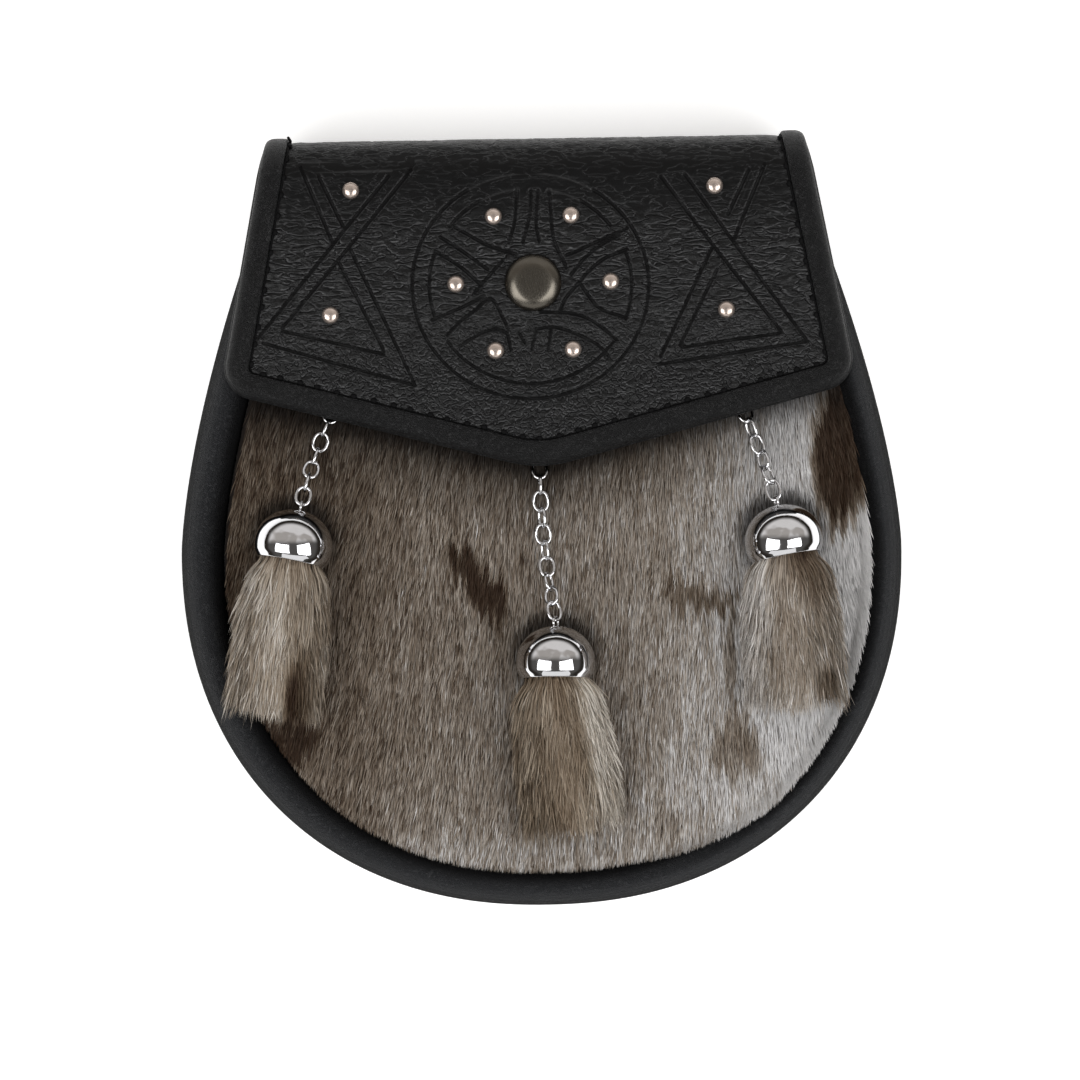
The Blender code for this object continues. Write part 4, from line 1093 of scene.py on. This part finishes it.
def make_fur_panel(hide, hair_finish):
    """A domed skin with lying hairs on it, all pointing down."""
    flat, sag = outline(PANEL_TOP_Y, lambda sag: 2 * roll_radius(sag) + GAP, 2.0 * MM)
    right, columns = flat[:len(flat) // 2 + 1], 61
    share = np.linspace(1.0, -1.0, columns)
    grid = np.stack((right[:, :1] * share, np.repeat(right[:, 1:], columns, 1)), -1).reshape(-1, 2)
    top = panel_top(grid[:, 0], grid[:, 1]) - 0.1 * MM
    piece = add_piece("seal_hide", np.column_stack((grid, top)), grid_faces(len(right), columns), hide,
                      "seal_fur", ["front_panel"])
    edge_line = np.vstack((flat, flat[:1]))

    def past_edge(places):
        """Distance from the panel's edge, positive outside it."""
        outside = np.abs(places[:, 0]) > np.interp(-places[:, 1], -right[:, 1], right[:, 0])
        return line_distance(places, [edge_line]) * np.where(outside, 1.0, -1.0)

    # painted shade: the skin darkens towards the panel's edge by the roll, and takes the painted shadow below
    # the flap and above the caps
    painted_edge_shade = np.interp(line_distance(grid, [edge_line]), (0.2 * MM, 2.2 * MM), (0.04, 1.0))[:, None]
    paint(piece, "tone", SKIN_SHARE * tone_colours(fur_tone(grid) - 0.12) * fur_shade(grid) * painted_edge_shade)
    thicken(piece, PANEL_THICKNESS - 0.3 * MM, -1.0)

    spacing = FUR_SPACING
    xs, ys = np.meshgrid(np.arange(-86 * MM, 86 * MM, spacing), np.arange(-94 * MM, 50 * MM, spacing))
    roots = np.stack((xs.ravel(), ys.ravel()), -1)
    roots = roots + (rng.random(roots.shape) - 0.5) * spacing * 1.3
    low_enough = roots[:, 1] < hem_height(roots[:, 0]) + FUR_UNDER_FLAP
    roots = roots[low_enough & (np.abs(roots[:, 0]) < half_width(roots[:, 1]) - 6.0 * MM)]
    inside, swept = -past_edge(roots), fur_over_roll(roots)
    keep = np.where(inside > 0.0, inside > FUR_MARGIN * (1.0 - swept), -inside < SWEPT_REACH * swept)
    roots, inside, swept = roots[keep], inside[keep], swept[keep]
    count = len(roots)

    slant = np.interp(roots[:, 0] / MM, (-85, -50, -20, 20, 55, 85), (-15.0, -12.0, -8.0, -5.0, 0.0, 12.0))
    slant += 9.0 * (cloud(roots, (2.4 * MM, 6 * MM), 31) - 0.5) + 8.0 * (cloud(roots, 11 * MM, 32) - 0.5)
    slant = np.radians(slant + 4.0 * rng.standard_normal(count))
    length = (4.6 + 4.4 * rng.random(count)) * MM
    heading = np.stack((np.sin(slant), -np.cos(slant)), -1)
    beyond_edge = past_edge(roots + heading * length[:, None])
    overlap = (1.5 * rng.random(count) - np.interp(roots[:, 1], (-85 * MM, -60 * MM), (0.4, 0.9))) * MM
    overlap += swept * (3.3 + 0.5 * rng.random(count)) * MM
    shorter = length * (inside + overlap) / np.maximum(inside + beyond_edge, 1 * MM)
    length = np.maximum(np.where(beyond_edge > overlap, shorter, length), 0.8 * MM)
    bend = np.radians(5.0) * rng.standard_normal(count)
    rise = (0.35 + 1.0 * rng.random(count)) * MM
    knots = np.array((0.0, 0.36, 0.70, 1.0))
    profile = np.array((-0.10, 0.62, 0.98, 1.0))
    paths = np.empty((count, 4, 3))
    spot = roots
    for index, step in enumerate(np.diff(knots, prepend=0.0)):
        course = slant + bend * (knots[index] - 0.4)
        spot = spot + np.stack((np.sin(course), -np.cos(course)), -1) * (length * step)[:, None]
        on_hide = panel_top(spot[:, 0], spot[:, 1]) + rise * profile[index]
        over = past_edge(spot)
        climb = np.sqrt(ROLL_SIDE_RADIUS ** 2 - np.clip(ROLL_SIDE_RADIUS - over, 0.0, ROLL_SIDE_RADIUS) ** 2)
        on_roll = FRONT_ROLL_Z + climb + (0.30 * index - 0.1) * MM
        paths[:, index, :2] = spot
        paths[:, index, 2] = np.where(over > 0.2 * MM, np.maximum(on_hide, on_roll), on_hide)
    roll = np.radians(32.0) * rng.standard_normal(count)
    sides = np.stack((np.cos(slant) * np.cos(roll), np.sin(slant) * np.cos(roll), np.sin(roll)), -1)
    thick = (0.21 + 0.14 * rng.random(count)) * MM
    widths = thick[:, None] * np.array((0.75, 1.0, 0.85, 0.0))
    own = 0.07 + 0.09 * rng.standard_normal(count) - 0.36 * (rng.random(count) < 0.20)
    own *= np.interp(roots[:, 0], (0.0, 25 * MM, 45 * MM, 70 * MM), (1.0, 0.85, 0.65, 0.35))
    middle = roots + heading * length[:, None] * 0.6
    # painted shadow below the flap and above the caps scales each hair's colour
    tone, painted_shadow_share = fur_tone(middle) + own, fur_shade(middle)
    pale_tip = 0.08 * (rng.random(count) < 0.5)
    order = np.digitize(roots[:, 0], (-MIDDLE_HALF_WIDTH, MIDDLE_HALF_WIDTH))
    order[(swept > 0.0) & (inside < SWEPT_BAND)] = 3
    short, bent = ((0, 2, 3), (-0.27, 0.08, 0.12)), ((0, 1, 2, 3), (-0.34, -0.08, 0.06, 0.12))
    kinds = {"left": short, "middle": short, "right": short, "swept_over_roll": bent}
    for number, (name, (used, steps)) in enumerate(kinds.items()):
        pick = order == number
        vertices, faces, knot_of = ribbons(paths[pick][:, used], widths[pick][:, used], sides[pick])
        shade = tone[pick][:, None] + np.array(steps)[knot_of]
        shade = shade + pale_tip[pick][:, None] * (knot_of > len(used) - 3)
        piece = add_piece(f"seal_hair_{name}", vertices, faces, hair_finish, "seal_fur")
        paint(piece, "tone", tone_colours(shade.ravel()) * np.repeat(painted_shadow_share[pick], len(knot_of), 0))


def tassel_points(tassel, along, turn, reach):
    """Places in a tassel: along from mouth 0 to tips 1, turned about its middle, reach 1 at its surface."""
    mouth = np.array(cap_mouth(tassel))
    lean = math.radians(tassel["fur_lean"])
    down = np.array((math.sin(lean), -math.cos(lean), 0.0))
    side = np.array((math.cos(lean), math.sin(lean), 0.0))
    fall = tassel["tip_z"] * MM - mouth[2]
    half = tassel["half_width"] * MM
    shares = (-0.1, 0.0, 0.06, 0.13, 0.35, 0.65, 0.88, 1.05)
    widths = np.append((7.5 * MM, 8.2 * MM), np.array((0.80, 0.90, 1.01, 1.06, 1.04, 1.04)) * half)
    across = np.interp(along, shares, widths) * reach * np.cos(turn)
    thick = np.interp(along, shares, np.array((7.4, 7.8, 7.8, 7.4, 6.6, 5.4, 4.2, 3.0)) * MM)
    height = fall * np.maximum(along, 0.0) ** 1.2 + thick * reach * np.sin(turn)
    fallen = along * tassel["length"] * MM
    return mouth + fallen[..., None] * down + across[..., None] * side + height[..., None] * UP


def make_tassel(side, tassel, hair_finish):
    """Short hairs in layers all down the tassel, in locks, over a darker core."""
    local = np.random.default_rng(tassel["seed"])
    columns, levels = 48, 24
    turns, rows = np.meshgrid(full_turn(columns), np.linspace(-0.08, 0.84, levels))
    reach = np.interp(rows, (-0.08, 0.0, 0.55, 0.72, 0.80, 0.84), (0.85, 0.88, 0.80, 0.58, 0.32, 0.04))
    core = tassel_points(tassel, rows, turns, reach).reshape(-1, 3)
    faces = grid_faces(levels, columns, wrap_columns=True)
    faces += [face[::-1] for face in end_faces(levels, columns)]
    piece = add_piece(f"{side}_tassel_core", core, faces, hair_finish, "tassel_fur", [f"tassel_fur_{side}"],
                      sharp=60)
    paint(piece, "tone", tone_colours(np.full(len(core), CORE_TONE)))

    count = TASSEL_HAIRS
    turn = local.random(count) * np.pi * np.where(local.random(count) < 0.5, 1.0, 2.0)
    start = -0.06 + 0.98 * local.random(count)
    span = 0.15 + 0.15 * local.random(count)
    around, down_rows = 17, 0.13
    row = np.floor((start + span) / down_rows + 0.3 * local.standard_normal(count))
    lock = np.floor(turn / (2 * np.pi) * around + 0.37 * row + 0.22 * local.standard_normal(count))
    lock_turn = (lock + 0.5 - 0.37 * row) * 2 * np.pi / around
    chance = np.sin(lock * 12.9898 + row * 78.233 + tassel["seed"]) * 43758.5453
    own = chance - np.floor(chance) - 0.5                           # one chance value for each lock
    limit = 0.95 + 0.09 * own + 0.035 * local.standard_normal(count)
    start = np.where(start + span > limit, limit - span, start)
    knots = np.linspace(0.0, 1.0, 5)
    along = start[:, None] + span[:, None] * knots
    course = turn[:, None] + (lock_turn - turn)[:, None] * 0.40 * knots ** 1.5
    course = course + (0.16 * own + 0.07 * local.standard_normal(count))[:, None] * knots
    low = np.where(start < 0.05, 0.86 + 0.12 * local.random(count), 0.74 + 0.20 * local.random(count))
    high = 0.98 + 0.06 * own + 0.035 * local.standard_normal(count) + 0.07 * (local.random(count) < 0.12)
    filling = (start + span > 0.78) & (local.random(count) < 0.50)
    depth = np.where(filling, local.random(count) ** 0.5, 1.0)
    reach = (low[:, None] + (high - low)[:, None] * knots ** 0.8) * depth[:, None]
    paths = tassel_points(tassel, along, course, reach)
    direction = unit(paths[:, 3] - paths[:, 1])
    outward = unit(paths[:, 2] - tassel_points(tassel, along, course, reach * 0.2)[:, 2])
    roll = np.radians(28.0) * local.standard_normal(count)
    across = unit(np.cross(direction, outward))
    sides = across * np.cos(roll)[:, None] + outward * np.sin(roll)[:, None]
    thick = (0.20 + 0.16 * local.random(count)) * MM
    widths = thick[:, None] * np.array((0.9, 1.0, 0.95, 0.7, 0.0))
    vertices, faces, knot_of = ribbons(paths, widths, sides)
    place_across = (np.cos(course) * reach)[:, knot_of]
    place_along = along[:, knot_of]
    tone = np.full(place_across.shape, tassel["tone"])
    for across_at, along_at, wide, tall, mark, strength in TASSEL_MARKS[side]:
        gap = np.hypot((place_across - across_at) / wide, (place_along - along_at) / tall)
        tone += (mark - tone) * strength * fade(gap, 0.6, 0.7)
    tone += 0.10 * local.standard_normal((count, 1)) + 0.18 * own[:, None]
    tone += np.array((-0.26, -0.08, 0.0, 0.05, 0.09))[knot_of]
    piece = add_piece(f"{side}_tassel_hair", vertices, faces, hair_finish, "tassel_fur")
    paint(piece, "tone", tone_colours(tone.ravel()) * tassel["tint"])


# ---- light and camera

def panel_light(name, across, along, distance, wide, tall, brightness):
    """Soft panel; across and along are its angles from straight above, brightness its radiance."""
    light = bpy.data.lights.new(name, "AREA")
    light.shape = "RECTANGLE"
    light.size, light.size_y = wide, tall
    light.energy = brightness * math.pi * wide * tall
    lamp = put(name, light)
    back = Vector((math.tan(math.radians(across)), math.tan(math.radians(along)), 1.0)).normalized()
    level = (Vector((1.0, 0.0, 0.0)) - back * back.x).normalized()
    lamp.location = back * distance
    lamp.rotation_euler = Matrix((level, back.cross(level), back)).transposed().to_euler()
    lamp.visible_camera = False


def make_stage(floor_finish):
    corners = [(x * FLOOR_REACH, y * FLOOR_REACH, 0.0) for x, y in ((-1, -1), (1, -1), (1, 1), (-1, 1))]
    mesh = bpy.data.meshes.new("studio_floor")
    mesh.from_pydata(corners, [], [(0, 1, 2, 3)])
    mesh.materials.append(floor_finish)
    floor = put("studio_floor", mesh)
    world = bpy.data.worlds.new("studio_room")
    world.use_nodes = True
    bpy.context.scene.world = world
    room = Finish(world.node_tree)
    direction = room.node("TexCoord", output="Generated")
    clutter = room.noise(direction, 0.7, 1.0).ramp(0.36, 0.48)
    sheet = room.mix(clutter, (0.46, 0.43, 0.40), (0.80, 0.775, 0.755))
    sheet = room.mix(room.axis(direction, "Y").ramp(0.04, 0.34), (0.10, 0.095, 0.09), sheet)
    walls = room.mix(room.axis(direction, "Z").ramp(0.12, 0.36), (0.030, 0.026, 0.022), sheet)
    shown = room.mix(room.node("LightPath", output="Is Camera Ray"), walls, (0.93, 0.93, 0.93))
    room.feed(world.node_tree.nodes["Background"].inputs["Color"], shown)
    for light in LIGHTS:
        panel_light(*light)
    bpy.context.scene.view_settings.view_transform = "Standard"


def make_camera():
    camera = bpy.data.cameras.new("camera")
    camera.lens = LENS
    camera.sensor_width = SENSOR
    distance = PICTURE * PIXEL * LENS / SENSOR
    eye = put("camera", camera)
    eye.location = (*seen(PICTURE / 2, PICTURE / 2), FRONT_ROLL_Z + distance)
    eye.rotation_euler = (0.0, 0.0, -math.atan(TURN))
    bpy.context.scene.camera = eye


def main():
    rim, binding, back = (smooth_leather(*leather) for leather in SMOOTH_LEATHERS)
    bright = chrome()
    fur = hair("seal_hair_finish")
    long_hair = hair("tassel_hair_finish")
    make_stage(pale_floor())
    make_camera()
    make_rolls(rim)
    make_gusset(rim)
    make_flap(creased_leather(), back)
    make_binding(binding, waxed_thread())
    make_snap_and_studs(gunmetal(), nickel())
    make_fur_panel(hide_leather(), fur)
    for side, tassel in TASSELS.items():
        make_cap(side, tassel, bright)
        make_chain(side, tassel["links"], bright)
        make_tassel(side, tassel, long_hair)
        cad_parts[f"chain_anchor_{side}"].data.materials[0] = bright
    for node in ("back_panel", "belt_loop_left", "belt_loop_right"):
        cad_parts[node].data.materials[0] = back


main()
